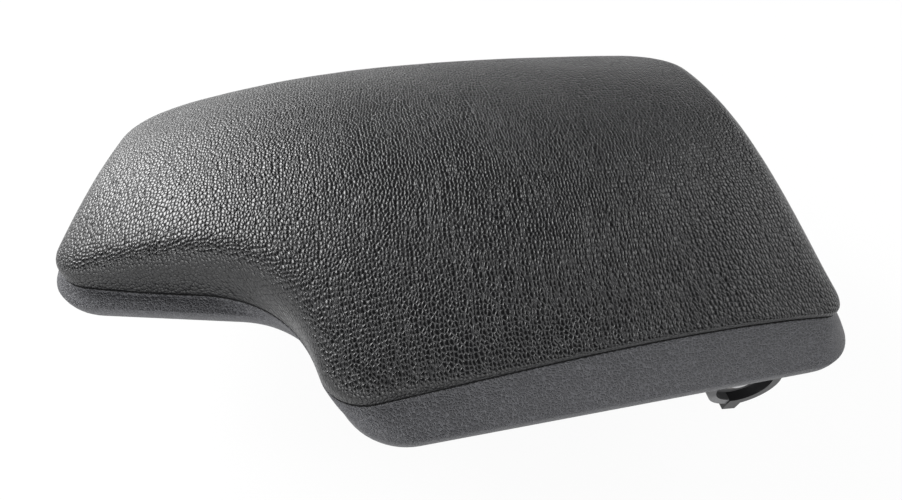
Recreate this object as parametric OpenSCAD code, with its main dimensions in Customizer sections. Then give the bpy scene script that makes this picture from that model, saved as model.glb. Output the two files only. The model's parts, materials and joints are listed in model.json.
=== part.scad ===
// Centre armrest lid of a car console: leather over foam on a moulded carrier,
// hinged at the rear on a bolted bracket and latched at the front.
// +X points to the rear, -Y to the notched side, +Z up. The origin is the centre
// of the bracket's bolt pattern, on the face that rests on the console.

/* [Lid outline] */
// Length of the lid along its seam line
lid_l = 325; // [300:1:350]
// Width of the narrow front end
narrow_w = 127; // [119:1:135]
// Width just behind the notch
shoulder_w = 203; // [193:1:213]
// Width at the rear end
rear_w = 193; // [186:1:201]
// Straight far side, from the hinge's middle plane
far_y = 102; // [98:1:106]
// How far the front end's far corner is set back
front_rake = 14; // [4:1:20]
// How far the rear end's near corner is set forward
rear_rake = 4; // [0:1:8]
// From the front end to the inner corner of the notch
notch_l = 98.5; // [88:0.5:110]
// How far the notch wall runs back from its inner to its outer corner
notch_lean = 17.5; // [12:0.5:24]
// How far the near edge runs out between the front end and the notch
front_taper = 19; // [12:1:25]
// Corner radius at the front, near side
front_near_r = 17; // [14:1:22]
// Corner radius at the front, far side
front_far_r = 39; // [30:1:48]
// Corner radius at the rear, near side
rear_near_r = 10; // [8:1:18]
// Corner radius at the rear, far side
rear_far_r = 36; // [28:1:46]
// Inner radius of the notch at the seam
notch_in_r = 63; // [47:1:65]
// Outer radius of the notch at the seam
notch_out_r = 20; // [18:1:26]

/* [Side band] */
// Height of the widest line above the lid's lower edge
tuck_h = 13; // [10:0.5:14]
// How far the lower edge is tucked in under the widest line
tuck_in = 10; // [8:0.5:13]
// Lean of the band outwards along the near side
near_flare = 12.5; // [8:0.5:14]
// Lean of the band outwards beside the narrow front
front_near_flare = 6.5; // [3:0.5:8]
// Lean of the band inwards along the notch wall
notch_flare = 3.5; // [1:0.5:5]
// Lean of the band outwards at the rear
rear_flare = 11.5; // [7:0.5:13]
// Lean of the band outwards along the far side
far_flare = 1.5; // [0:0.5:4]
// Lean of the band outwards at the front
front_flare = 4; // [1:0.5:6]
// Near front corner radius at the band's widest line
base_front_near_r = 24; // [20:1:28]
// Inner radius of the notch at the band's widest line
base_notch_in_r = 49; // [40:1:56]
// Outer radius of the notch at the band's widest line
base_notch_out_r = 29; // [22:1:34]
// Near rear corner radius at the band's widest line
base_rear_near_r = 24; // [20:1:30]

/* [Heights] */
// Height of the seam at the front end
seam_front_h = 19.5; // [18:0.5:22]
// Height of the seam a third of the way back
seam_notch_h = 19.5; // [19:0.5:22]
// Height of the seam two thirds of the way back
seam_mid_h = 31.5; // [27:0.5:33]
// Height of the seam at the rear end
seam_rear_h = 27; // [24:0.5:30]
// Height of the crown at the front end
top_front_h = 28; // [27:0.5:33]
// Height of the crown a third of the way back
top_notch_h = 54; // [48:0.5:58]
// Height of the crown two thirds of the way back
top_mid_h = 59; // [53:0.5:63]
// Height of the crown at the rear end
top_rear_h = 55.5; // [50:0.5:59]
// Fall of the crown at the half width given below
crown_fall = 17.5; // [8:0.5:19]
// Half width over which the crown falls
crown_half_w = 90; // [86:1:110]
// Middle line of the crown
crown_y = 12; // [6:1:18]
// Width of the roll-over between the top and the seam
roll_in = 15; // [11:0.5:16.5]

/* [Covers] */
// Thickness of the leather
leather_t = 1.2; // [0.9:0.1:1.5]
// Depth of the folded seam
seam_fold = 1.3; // [0.8:0.1:1.6]
// Clearance between the leather, the foam and the carrier
foam_gap = 0.3; // [0.2:0.05:0.5]
// How far the foam's inner wall stands inside the tucked edge at the notch
carrier_land = 0.2; // [0.1:0.1:1.5]
// Wall thickness of the carrier
carrier_t = 2.5; // [2:0.1:3]
// Thickness of the carrier's ribs
rib_t = 1.8; // [1.4:0.1:2.2]
// Spacing of the carrier's ribs
rib_pitch = 42; // [36:1:50]
// Thickness of the liner plate
liner_t = 2.2; // [1.8:0.1:2.6]
// Height of the liner's lower face above the lid's lower edge
liner_z = 0.6; // [0.4:0.1:0.8]
// Clearance between the liner's edge and the carrier's wall
liner_gap = 0.5; // [0.3:0.1:0.8]
// Shank radius of the liner screws
liner_screw_r = 1.5; // [1.3:0.05:1.7]
// Radius of the front rest buffers
buffer_r = 6; // [5:0.5:6.5]
// How far the buffers stand below the liner
buffer_h = 3; // [2:0.5:4]

/* [Hinge] */
// Distance of the hinge axis from the rear end of the seam line
hinge_setback = 27; // [25:0.5:29]
// Distance of the hinge axis below the lid's lower edge
hinge_drop = 21; // [20:0.5:24]
// Height of the hinge axis above the bracket's base face
hinge_h = 44; // [38:1:54]
// Distance of the hinge axis behind the centre of the bolts
hinge_x = 11; // [8:1:12]
// Outer radius of the lid's hinge barrels
barrel_r = 16.5; // [15.5:0.5:17.5]
// Outer end of each barrel, from the middle plane
barrel_end_y = 92; // [88:1:94]
// Inner end of each barrel
barrel_start_y = 60; // [59:1:61]
// Depth of the cup in the barrel's outer end
cup_depth = 4; // [3:0.5:5]
// Wall of that cup
cup_wall = 3.7; // [3:0.1:4.5]
// Radius of the hinge pin
pin_r = 5; // [4:0.25:5.5]
// Radial running clearance on the hinge pin
pin_gap = 0.05; // [0.02:0.01:0.1]
// Thickness of the hinge plate inside the lid
hinge_plate_t = 3; // [2.5:0.5:3.5]
// Height of that plate's lower face above the lid's lower edge
hinge_plate_z = 6; // [5.5:0.5:7]
// Thickness of each hinge arm
arm_t = 10; // [8:0.5:11]
// Shank radius of the hinge screws
hinge_screw_r = 2.45; // [2:0.05:2.6]
// Opening angle at which the lid meets its stop
open_angle = 75; // [60:1:80]

/* [Bracket] */
// Thickness of the bracket's sheet
sheet_t = 4; // [3:0.5:5]
// Distance from the middle plane to the outer face of each ear
ear_y = 56; // [54:1:56]
// Radius of the eye in each ear
eye_r = 12; // [11:0.5:13]
// Wall of the flanged bushes
bush_wall = 2; // [1.5:0.25:2.5]
// Spacing of the bolt holes along the lid
bolt_dx = 36; // [32:1:38]
// Spacing of the bolt holes across the lid
bolt_dy = 76; // [60:1:80]
// Radius of the bolt holes
bolt_r = 3.3; // [2.7:0.1:4.3]
// Width of the stop tab
stop_w = 40; // [30:1:50]

/* [Latch] */
// How far the latch stands from the middle of the narrow front
latch_offset = 0; // [-3:0.5:3]
// Length of the button
button_l = 15; // [12:1:16]
// Width of the button
button_w = 36; // [28:1:38]
// Travel of the button
button_travel = 4; // [3:0.25:4]
// Thickness of the hook
hook_t = 7; // [5:0.5:8]
// Reach of the hook below its pivot
hook_reach = 24; // [20:1:28]
// Length of the hook's lever
lever_l = 12; // [11.5:0.25:13]
// Radius of the hook's pivot pin
latch_pin_r = 2; // [1.5:0.25:2.25]
// Wire thickness of the button spring
wire_d = 0.8; // [0.6:0.1:0.9]
// Turns of the button spring
spring_turns = 3.5; // [3:0.5:4]

/* [Hidden] */
$fn = 48;
tiny = 0.01;
// Parts are cut or joined over this extra length
over = 2;

// Outline: six corners, counter-clockwise from the near front corner
rear_x = hinge_setback;
front_x = rear_x - lid_l;
near_front_y = far_y - narrow_w;
SEAM = [
    [front_x, near_front_y],
    [front_x + notch_l, near_front_y - front_taper],
    [front_x + notch_l + notch_lean, far_y - shoulder_w],
    [rear_x - rear_rake, far_y - rear_w],
    [rear_x, far_y],
    [front_x + front_rake, far_y]
];
SEAM_R = [front_near_r, notch_in_r, notch_out_r, rear_near_r, rear_far_r, front_far_r];
BASE_R = [base_front_near_r, base_notch_in_r, base_notch_out_r, base_rear_near_r, rear_far_r, front_far_r];
// One lean for each side, in the order of the corners
FLARE = [front_near_flare, -notch_flare, near_flare, rear_flare, far_flare, front_flare];
// Steps round each corner, and along the side that follows it
ARC = [6, 5, 5, 6, 6, 6];
RUN = [5, 2, 15, 4, 32, 4];
N = 96;
// The crown is a grid that starts in the middle of the first corner
MID = 3;
U = 38;
V = 10;
least_r = 1.5;

// Heights along the lid
STATIONS = [front_x, front_x + 0.34 * lid_l, front_x + 0.68 * lid_l, rear_x];
SEAM_H = [seam_front_h, seam_notch_h, seam_mid_h, seam_rear_h];
TOP_H = [top_front_h, top_notch_h, top_mid_h, top_rear_h];
bead_h = 3;
fold_h = 1;
// Least rise of the crown over the seam, and the softness of that limit
edge_rise = 4.5;
edge_soft = 3;

// Covers: the carrier's wall stands inside the tucked edge all round
carrier_in = tuck_in + notch_flare + carrier_land + foam_gap;
foam_t = leather_t + foam_gap;
lip_short = 0.7;
lip_in = carrier_in + carrier_t - lip_short;
roof_rise = 1;
roof_steps = 12;
liner_in = carrier_in + carrier_t + liner_gap;
liner_top = liner_z + liner_t;
rib_z = 10;
boss_r = 4;
field_in = 12;
field_depth = 0.7;
screw_head_r = 3.2;
screw_head_h = 1.1;
screw_head_sink = 0.1;
screw_land = 3;
screw_gap = 0.05;
screw_pass = 0.3;
liner_screw_l = 9;
screw_side = 26;
screw_notch_l = 60;
screw_front_l = 78;
screw_mid_l = 165;
screw_rear_l = 80;
// Near edge beside the narrow front, at the distance l from the front end
function near_edge_y(l) = near_front_y - front_taper * l / notch_l;
// Liner screws: two at the front, two behind the notch, two before the hinge
LINER_SCREWS = [
    [front_x + screw_notch_l, near_edge_y(screw_notch_l) + liner_in + boss_r + screw_land],
    [front_x + screw_front_l, far_y - screw_side],
    [front_x + screw_mid_l, far_y - shoulder_w + screw_side],
    [front_x + screw_mid_l, far_y - screw_side],
    [rear_x - screw_rear_l, far_y - rear_w + screw_side],
    [rear_x - screw_rear_l, far_y - screw_side]
];
buffer_near_l = 38;
buffer_far_l = 46;
buffer_land = 1;
BUFFERS = [
    [front_x + buffer_near_l, near_edge_y(buffer_near_l) + liner_in + buffer_r + buffer_land],
    [front_x + buffer_far_l, far_y - screw_side]
];
stem_r = 3;
stem_gap = 0.1;

// Hinge
core_y = barrel_end_y - cup_depth;
cup_r = barrel_r - cup_wall;
arm_y = barrel_start_y + 3;
plate_front = -34;
plate_gap = 1;
plate_rear = rear_x - rear_rake - carrier_in - carrier_t - plate_gap;
plate_half_w = 74;
boss_z = hinge_plate_z + hinge_plate_t;
hinge_boss_r = 5.5;
hinge_head_r = 4.6;
hinge_head_h = 2.6;
hinge_screw_in = 7;
hinge_screw_y = 50;
HINGE_SCREWS = [
    for (x = [plate_front + hinge_screw_in, plate_rear - hinge_screw_in], side = [-1, 1])
        [x, side * hinge_screw_y]
];
pin_head_r = 8;
pin_head_h = 2.5;
groove_depth = 0.8;
clip_t = 1;
clip_gap = 0.1;
clip_outer_r = 7.8;
pin_over = 2.2;
pin_near_end = core_y + pin_over;
// Guard: black segment let into the near barrel's rim, from below to behind
guard_from = -98;
guard_to = 35;
guard_depth = 6;
guard_proud = 0.6;
guard_gap = 0.2;
// The tab's root lies this far outside the guard's inner edge
tab_root = 0.5;
tab_out = 4;
tab_w = 7;
flange_t = 1;
flange_r = 10;
disc_t = 1.5;
disc_r = 11;
disc_gap = 0.1;
washer_t = 0.6;
washer_r = 9.5;

// Bracket
bolt_front_edge = 15;
base_behind = 7;
base_beside = 10;
base_front = -hinge_x - bolt_dx / 2 - bolt_front_edge;
base_rear = hinge_x + base_behind;
base_half_w = ear_y + base_beside;
ear_in = 6;
bush_over = 0.5;
pad_in = 2;
bush_r = pin_r + pin_gap + bush_wall;
bush_fit = 0.02;
tab_top = 8;
base_corner_r = 8;
front_flange_h = 10;
slot_l = 44;
slot_r = 8;
pad_gap = 0.4;

// Latch
latch_y = far_y - narrow_w / 2 + latch_offset;
housing_gap = 1.5;
housing_front = front_x + front_rake + liner_in + housing_gap;
housing_l = 52;
screw_pad = 6;
housing_rim = 5;
housing_t = 2;
cheek_t = 2.5;
flange_over = 2;
button_gap = 0.4;
button_front = housing_front + housing_rim;
side_y = button_w / 2 + flange_over + 1;
housing_half_w = side_y + cheek_t + screw_pad;
button_z = 0.2;
button_flange_z = liner_top + 0.2;
button_flange_t = 1.5;
pivot_reach = 20;
pivot_x = button_front + button_l + pivot_reach;
pivot_z = 7.4;
lever_t = 3;
lever_gap = 0.3;
finger_t = 1;
finger_w = 12;
hook_boss_r = 4;
hook_shank = 6;
nose_l = 6;
hook_side_gap = 1.5;
latch_pin_over = 1.5;
latch_pin_gap = 0.05;
latch_pin_head = 0.5;
latch_pin_head_t = 1;
latch_screw_r = 1.3;
latch_screw_head_h = 1.4;
screw_front_in = 5;
screw_rear_in = 6;
screw_side_in = 3;
bridge_t = 1.4;
spring_r = 4;
spring_gap = 0.3;
spring_spare = 0.3;
spring_z0 = button_flange_z + button_flange_t + spring_gap;
// Room for the closed coils and the full travel
spring_z1 = spring_z0 + spring_turns * wire_d + button_travel + spring_spare;
spring_sides = 6;
spring_steps = 12;

// Plane geometry
function unit(v) = v / norm(v);
function inward(u) = [-u.y, u.x];
function crossed(a, b) = a.x * b.y - a.y * b.x;
function lerp(a, b, k) = a * (1 - k) + b * k;
function turned(v, a) = [v.x * cos(a) - v.y * sin(a), v.x * sin(a) + v.y * cos(a)];
function meet(p, u, q, v) = p + u * crossed(q - p, v) / crossed(u, v);
function side_dir(c, i) = unit(c[(i + 1) % len(c)] - c[i]);
function side_at(c, i, d) = c[i] + inward(side_dir(c, i)) * d;

// Corners c with each side i moved inwards by d[i]
function shifted(c, d) = [
    for (i = [0:len(c) - 1])
        let (h = (i + len(c) - 1) % len(c))
        meet(side_at(c, h, d[h]), side_dir(c, h), side_at(c, i, d[i]), side_dir(c, i))
];

// Points round one corner
function fillet(p, u, v, r, n) =
    let (
        turn = atan2(crossed(u, v), u * v),
        s = sign(turn),
        centre = p - u * r * tan(abs(turn) / 2) + inward(u) * r * s
    )
    [for (k = [0:n]) centre - turned(inward(u), turn * k / n) * r * s];

// Closed outline with rounded corners, always of N points
function rounded(c, r) =
    let (
        n = len(c),
        f = [for (i = [0:n - 1]) fillet(c[i], side_dir(c, (i + n - 1) % n), side_dir(c, i), r[i], ARC[i])]
    )
    [
        for (i = [0:n - 1])
            each concat(f[i], [for (k = [1:1:RUN[i] - 1]) lerp(f[i][ARC[i]], f[(i + 1) % n][0], k / RUN[i])])
    ];

function is_hollow(c, i) = crossed(side_dir(c, (i + len(c) - 1) % len(c)), side_dir(c, i)) < 0;
function radii(c, r, d) = [for (i = [0:len(c) - 1]) is_hollow(c, i) ? r[i] + d : max(r[i] - d, least_r)];
function inset(c, r, d) = rounded(shifted(c, [for (p = c) d]), radii(c, r, d));
BASE = shifted(SEAM, -FLARE);
function seam_plan(d) = inset(SEAM, SEAM_R, d);
function base_plan(d) = inset(BASE, BASE_R, d);

// Heights of the seam and of the crown: a cubic through four stations
function station_weight(x, i) =
    let (w = [for (j = [0:3]) j == i ? 1 : (x - STATIONS[j]) / (STATIONS[i] - STATIONS[j])])
    w[0] * w[1] * w[2] * w[3];
function along(x, h) = [for (i = [0:3]) station_weight(x, i)] * h;
function seam_z(x) = along(x, SEAM_H);
function soft_max(a, b) = (a + b + sqrt((a - b) * (a - b) + edge_soft * edge_soft)) / 2;
function top_z(x, y) =
    soft_max(along(x, TOP_H) - crown_fall * pow((y - crown_y) / crown_half_w, 2), seam_z(x) + edge_rise);
function roof_z(x) = seam_z(x) + roof_rise;

// Rings of N points, each at the depth t below the visible surface
function roll_ring(t, a) = [
    for (p = seam_plan(roll_in * (1 - cos(a)) + t * cos(a)))
        let (s = seam_z(p.x) + bead_h)
        [p.x, p.y, s + (top_z(p.x, p.y) - s) * sin(a) - t * sin(a)]
];
function seam_ring(d, h) = [for (p = seam_plan(d)) [p.x, p.y, seam_z(p.x) + h]];
function wall_ring(t, w) =
    let (a = seam_plan(t), b = base_plan(t))
    [
        for (i = [0:N - 1])
            let (q = lerp(a[i], b[i], w))
            [q.x, q.y, lerp(seam_z(a[i].x) - fold_h, tuck_h, w)]
    ];
function tuck_ring(t, a) = [
    for (p = base_plan(tuck_in * (1 - cos(a)) + t * cos(a)))
        [p.x, p.y, tuck_h * (1 - sin(a)) + t * sin(a)]
];
function flat_ring(d, z) = [for (p = seam_plan(d)) [p.x, p.y, z]];
function roof_ring(d, h) = [for (p = seam_plan(d)) [p.x, p.y, roof_z(p.x) + h]];

// Grid over the inside of a ring: the index on the ring of an edge point
function edge_index(i, j) =
    j == 0 ? (MID + i) % N
    : i == U ? (MID + U + j) % N
    : j == V ? (MID + 2 * U + V - i) % N
    : (MID + 2 * U + 2 * V - j) % N;
function grid_point(r, i, j) =
    let (
        u = i / U,
        v = j / V,
        across = lerp(r[edge_index(i, 0)], r[edge_index(i, V)], v),
        lengthwise = lerp(r[edge_index(0, j)], r[edge_index(U, j)], u),
        near = lerp(r[edge_index(0, 0)], r[edge_index(U, 0)], u),
        far = lerp(r[edge_index(0, V)], r[edge_index(U, V)], u)
    )
    across + lengthwise - lerp(near, far, v);
function grid_points(r, height) = [
    for (j = [1:V - 1], i = [1:U - 1])
        let (p = grid_point(r, i, j))
        [p.x, p.y, height(p.x, p.y)]
];
function on_edge(i, j) = i == 0 || i == U || j == 0 || j == V;
function grid_index(i, j, ring, inner) =
    on_edge(i, j) ? ring + edge_index(i, j) : inner + (j - 1) * (U - 1) + i - 1;
// Faces of the grid that starts on the ring of index ring, looking up or down
function grid_faces(ring, inner, up) = [
    for (j = [0:V - 1], i = [0:U - 1])
        let (
            a = grid_index(i, j, ring, inner),
            b = grid_index(i + 1, j, ring, inner),
            c = grid_index(i + 1, j + 1, ring, inner),
            d = grid_index(i, j + 1, ring, inner)
        )
        each up ? [[a, d, c], [a, c, b]] : [[a, b, c], [a, c, d]]
];
// Faces between rings; from the ring of index turn on, the quads split the other way
function band_faces(count, rings, turn) = [
    for (j = [0:count - 1], i = [0:N - 1])
        let (
            k = (i + 1) % N,
            a = j * N + i,
            b = j * N + k,
            c = ((j + 1) % rings) * N + k,
            d = ((j + 1) % rings) * N + i
        )
        each j < turn ? [[a, b, c], [a, c, d]] : [[a, b, d], [b, c, d]]
];

// A solid between a crowned top and an underside, from rings listed downwards
// over the outside and, from the ring of index turn, up again on the inside
module cap(rings, turn, top_height, under_height) {
    n = len(rings);
    top = grid_points(rings[0], top_height);
    under = grid_points(rings[n - 1], under_height);
    polyhedron(
        points = concat([for (r = rings) each r], top, under),
        faces = concat(
            band_faces(n - 1, n, turn),
            grid_faces(0, n * N, true),
            grid_faces((n - 1) * N, n * N + len(top), false)
        )
    );
}

// A closed tube of rings that runs round the whole outline
module girdle(rings, turn) {
    n = len(rings);
    polyhedron(points = [for (r = rings) each r], faces = band_faces(n, n, turn));
}

// Placement
module at_hinge() { translate([hinge_x, 0, hinge_h]) children(); }
module at_lid() { translate([hinge_x, 0, hinge_h + hinge_drop]) children(); }
// A flat profile in X and Z, extruded from y0 to y0 + w
module upright(y0, w) { translate([0, y0 + w, 0]) rotate([90, 0, 0]) linear_extrude(w) children(); }
module ring_2d(outer, inner) {
    difference() {
        circle(outer);
        circle(inner);
    }
}
module plan_2d(d) { polygon(seam_plan(d)); }
module slab(z, h) { translate([0, 0, z]) linear_extrude(h) children(); }

// Everything below the carrier's roof, moved up by h
module under_roof(h) {
    x0 = front_x - over;
    run = rear_x - front_x + 2 * over;
    roof = [for (k = [0:roof_steps]) let (x = x0 + run * k / roof_steps) [x, roof_z(x) + h]];
    upright(-2 * far_y, 4 * far_y)
        polygon(concat([[x0, -over], each roof], [[x0 + run, -over]]));
}

module leather_top() {
    color("#303136")
        at_lid()
            cap(
                [
                    for (a = [90, 72, 54, 36, 18, 0]) roll_ring(0, a),
                    seam_ring(0.3, fold_h),
                    seam_ring(seam_fold, 0.1),
                    seam_ring(seam_fold + leather_t, 0.1),
                    for (a = [0, 30, 60, 90]) roll_ring(leather_t, a)
                ],
                8,
                function (x, y) top_z(x, y),
                function (x, y) top_z(x, y) - leather_t
            );
}

module leather_band() {
    color("#3a3b40")
        at_lid()
            girdle([
                seam_ring(seam_fold, -0.1),
                wall_ring(0, 0),
                wall_ring(0, 0.5),
                wall_ring(0, 1),
                tuck_ring(0, 30),
                tuck_ring(0, 60),
                tuck_ring(0, 90),
                flat_ring(lip_in, 0),
                flat_ring(lip_in, leather_t),
                tuck_ring(leather_t, 90),
                tuck_ring(leather_t, 45),
                wall_ring(leather_t, 1),
                seam_ring(seam_fold + leather_t, -0.1)
            ], 8);
}

module foam_pad() {
    fold_in = seam_fold + foam_t;
    color("#8d8a80")
        at_lid()
            cap(
                [
                    for (a = [90, 60, 30, 0]) roll_ring(foam_t, a),
                    seam_ring(fold_in, 0),
                    wall_ring(foam_t, 1),
                    tuck_ring(foam_t, 45),
                    tuck_ring(foam_t, 90),
                    flat_ring(carrier_in - foam_gap, foam_t),
                    roof_ring(carrier_in - foam_gap, foam_gap)
                ],
                10,
                function (x, y) top_z(x, y) - foam_t,
                function (x, y) roof_z(x) + foam_gap
            );
}

module carrier_ribs() {
    difference() {
        slab(rib_z, seam_mid_h + over)
            intersection() {
                plan_2d(carrier_in + carrier_t / 2);
                union() {
                    for (x = [front_x + rib_pitch:rib_pitch:rear_x - rib_pitch / 2])
                        translate([x - rib_t / 2, -2 * far_y]) square([rib_t, 4 * far_y]);
                    for (y = [-1:1])
                        translate([front_x, crown_y + y * rib_pitch - rib_t / 2]) square([lid_l, rib_t]);
                }
            }
        translate([housing_front - over, latch_y - housing_half_w - over, 0])
            cube([housing_l + 2 * over, 2 * (housing_half_w + over), seam_mid_h + 2 * over]);
    }
}

module carrier_bosses() {
    for (p = LINER_SCREWS)
        translate([p.x, p.y, liner_top]) cylinder(r = boss_r, h = seam_mid_h);
    for (p = HINGE_SCREWS)
        translate([p.x, p.y, boss_z]) cylinder(r = hinge_boss_r, h = seam_mid_h);
}

module carrier() {
    color("#2a2b2e")
        at_lid()
            difference() {
                union() {
                    difference() {
                        intersection() {
                            under_roof(0);
                            slab(foam_t, seam_mid_h + 2 * over) plan_2d(carrier_in);
                        }
                        intersection() {
                            under_roof(-carrier_t);
                            slab(0, seam_mid_h) plan_2d(carrier_in + carrier_t);
                        }
                    }
                    intersection() {
                        under_roof(-carrier_t / 2);
                        union() {
                            carrier_ribs();
                            carrier_bosses();
                        }
                    }
                }
                for (p = LINER_SCREWS)
                    translate([p.x, p.y, liner_top - tiny])
                        cylinder(r = liner_screw_r + screw_gap, h = liner_screw_l);
                for (p = HINGE_SCREWS)
                    translate([p.x, p.y, boss_z - tiny])
                        cylinder(r = hinge_screw_r + screw_gap, h = liner_screw_l + 1);
            }
}

module liner_openings() {
    arm_room = 2;
    // Rear corners, where the hinge arms pass
    for (side = [-1, 1])
        translate([
            plate_front - arm_room,
            side > 0 ? arm_y - arm_room : -far_y,
            liner_z - over
        ])
            cube([hinge_setback - plate_front, far_y - arm_y + arm_room, liner_t + 2 * over]);
    translate([button_front - button_gap, latch_y - button_w / 2 - button_gap, liner_z - over])
        cube([button_l + 2 * button_gap, button_w + 2 * button_gap, liner_t + 2 * over]);
    hook_slot(liner_z - over, liner_t + 2 * over);
}

// Slot for the hook's swing
module hook_slot(z, h) {
    translate([pivot_x - hook_reach / 2, latch_y - hook_t / 2 - hook_side_gap, z])
        cube([hook_reach / 2 + nose_l + hook_shank, hook_t + 2 * hook_side_gap, h]);
}

module liner() {
    color("#26272a")
        at_lid()
            difference() {
                slab(liner_z, liner_t) plan_2d(liner_in);
                // Shallow field that leaves a rim and a pad round each screw
                slab(liner_z - over, over + field_depth)
                    difference() {
                        plan_2d(liner_in + field_in);
                        for (p = LINER_SCREWS) translate(p) circle(boss_r + screw_land);
                        translate([housing_front, latch_y - housing_half_w])
                            square([housing_l, 2 * housing_half_w]);
                    }
                liner_openings();
                for (p = LINER_SCREWS) {
                    translate([p.x, p.y, liner_z - over])
                        cylinder(r = liner_screw_r + screw_pass, h = liner_t + 2 * over);
                    translate([p.x, p.y, liner_z - over])
                        cylinder(r = screw_head_r + screw_pass, h = over + screw_head_h);
                }
                for (p = BUFFERS)
                    translate([p.x, p.y, liner_z - over])
                        cylinder(r = stem_r + stem_gap, h = liner_t + 2 * over);
            }
}

// A pan-headed screw that points up from the origin
module screw(shank_r, shank_l, head_r, head_h) {
    socket_r = 0.8 * shank_r;
    socket_depth = 0.6 * head_h;
    difference() {
        union() {
            translate([0, 0, -head_h]) cylinder(r = head_r, h = head_h);
            cylinder(r = shank_r, h = shank_l);
        }
        translate([0, 0, -head_h - tiny]) cylinder(r = socket_r, h = socket_depth, $fn = 6);
    }
}

module liner_screws() {
    color("#55565a")
        at_lid()
            for (p = LINER_SCREWS)
                translate([p.x, p.y, liner_z + screw_head_h])
                    screw(liner_screw_r, liner_screw_l, screw_head_r, screw_head_h - screw_head_sink);
}

module hinge_screws() {
    color("#8a8b8e")
        at_lid()
            for (p = HINGE_SCREWS)
                translate([p.x, p.y, hinge_plate_z])
                    screw(hinge_screw_r, hinge_plate_t + liner_screw_l, hinge_head_r, hinge_head_h);
}

module buffers() {
    barb_over = 0.8;
    barb_h = 2.5;
    chamfer = 1;
    color("#1c1c1e")
        at_lid()
            for (p = BUFFERS)
                translate([p.x, p.y, 0])
                    rotate_extrude()
                        polygon([
                            [0, liner_z - buffer_h],
                            [buffer_r - chamfer, liner_z - buffer_h],
                            [buffer_r, liner_z - buffer_h + chamfer],
                            [buffer_r, liner_z],
                            [stem_r, liner_z],
                            [stem_r, liner_top],
                            [stem_r + barb_over, liner_top],
                            [stem_r - barb_over, liner_top + barb_h],
                            [0, liner_top + barb_h]
                        ]);
}

// The segment of the near barrel's rim that the guard fills
module guard_sector_2d(widen) {
    reach = 2 * barrel_r;
    steps = 8;
    polygon(concat(
        [[0, 0]],
        [
            for (k = [0:steps])
                let (a = lerp(guard_from - widen, guard_to + widen, k / steps))
                [reach * cos(a), reach * sin(a)]
        ]
    ));
}

// Barrel seen from its end, with the arm that rises to the plate inside the lid
module arm_2d() {
    top = hinge_drop + hinge_plate_z + hinge_plate_t / 2;
    top_in = [4, 2];
    neck_in = [12, 1];
    neck_drop = [4, 2];
    // Where the arm's edges leave the barrel's rim, from level
    front_leaves = 204;
    rear_leaves = 30;
    polygon([
        [plate_front + top_in[0], top],
        [plate_rear - top_in[1], top],
        [plate_rear - neck_in[1], hinge_drop - neck_drop[1]],
        barrel_r * [cos(rear_leaves), sin(rear_leaves)],
        [0, 0],
        barrel_r * [cos(front_leaves), sin(front_leaves)],
        [plate_front + neck_in[0], hinge_drop - neck_drop[0]]
    ]);
}

module barrel(side) {
    y0 = side < 0 ? -barrel_end_y : barrel_start_y;
    y_cup = side < 0 ? -barrel_end_y - over : core_y;
    difference() {
        union() {
            upright(y0, barrel_end_y - barrel_start_y) circle(barrel_r);
            upright(side < 0 ? -arm_y - arm_t : arm_y, arm_t) arm_2d();
        }
        upright(y_cup, cup_depth + over) circle(cup_r);
        upright(y0 - over, barrel_end_y - barrel_start_y + 2 * over) circle(pin_r + pin_gap);
        if (side < 0)
            upright(-barrel_end_y - over, guard_depth + over)
                intersection() {
                    ring_2d(barrel_r + over, cup_r - tiny);
                    guard_sector_2d(0);
                }
    }
}

module hinge_frame() {
    color("#6c6d70")
        at_hinge()
            difference() {
                union() {
                    for (side = [-1, 1]) barrel(side);
                    translate([0, 0, hinge_drop + hinge_plate_z])
                        linear_extrude(hinge_plate_t)
                            difference() {
                                translate([plate_front, -plate_half_w])
                                    square([plate_rear - plate_front, 2 * plate_half_w]);
                                translate([(plate_front + plate_rear) / 2 - slot_r, -slot_l / 2])
                                    square([2 * slot_r, slot_l]);
                            }
                }
                for (p = HINGE_SCREWS)
                    translate([p.x, p.y, hinge_drop])
                        cylinder(r = hinge_screw_r + screw_pass, h = 2 * hinge_drop);
            }
}

module barrel_guard() {
    inner = cup_r + guard_gap;
    outer = barrel_r + guard_proud;
    color("#161617")
        at_hinge()
            union() {
                upright(-barrel_end_y - guard_proud, guard_depth + guard_proud - guard_gap)
                    intersection() {
                        ring_2d(outer, inner);
                        guard_sector_2d(-1);
                    }
                upright(-barrel_end_y - guard_proud, guard_depth + guard_proud - guard_gap)
                    rotate(guard_from + 1)
                        translate([inner + tab_root, 0])
                            square([outer + tab_out - inner - tab_root, tab_w]);
            }
}

module hinge_pin() {
    color("#9a9ca0")
        at_hinge()
            difference() {
                union() {
                    upright(-pin_near_end, pin_near_end + core_y) circle(pin_r);
                    upright(core_y, pin_head_h) circle(pin_head_r);
                }
                upright(-core_y - clip_t - 2 * clip_gap, clip_t + 2 * clip_gap)
                    ring_2d(pin_r + over, pin_r - groove_depth);
            }
}

module pin_clip() {
    inner = pin_r - groove_depth + clip_gap;
    color("#77787b")
        at_hinge()
            upright(-core_y - clip_t - clip_gap, clip_t)
                difference() {
                    ring_2d(clip_outer_r, inner);
                    translate([-inner, 0]) square([2 * inner, clip_outer_r + over]);
                }
}

// Flat ring on the hinge pin, outside each ear, from the distance y outwards
module pin_rings(y, t, r) {
    for (side = [-1, 1])
        upright(side < 0 ? -y - t : y, t) ring_2d(r, pin_r + pin_gap);
}

module friction_discs() {
    color("#7c6a4a") at_hinge() pin_rings(ear_y + flange_t + disc_gap, disc_t, disc_r);
}

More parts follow.
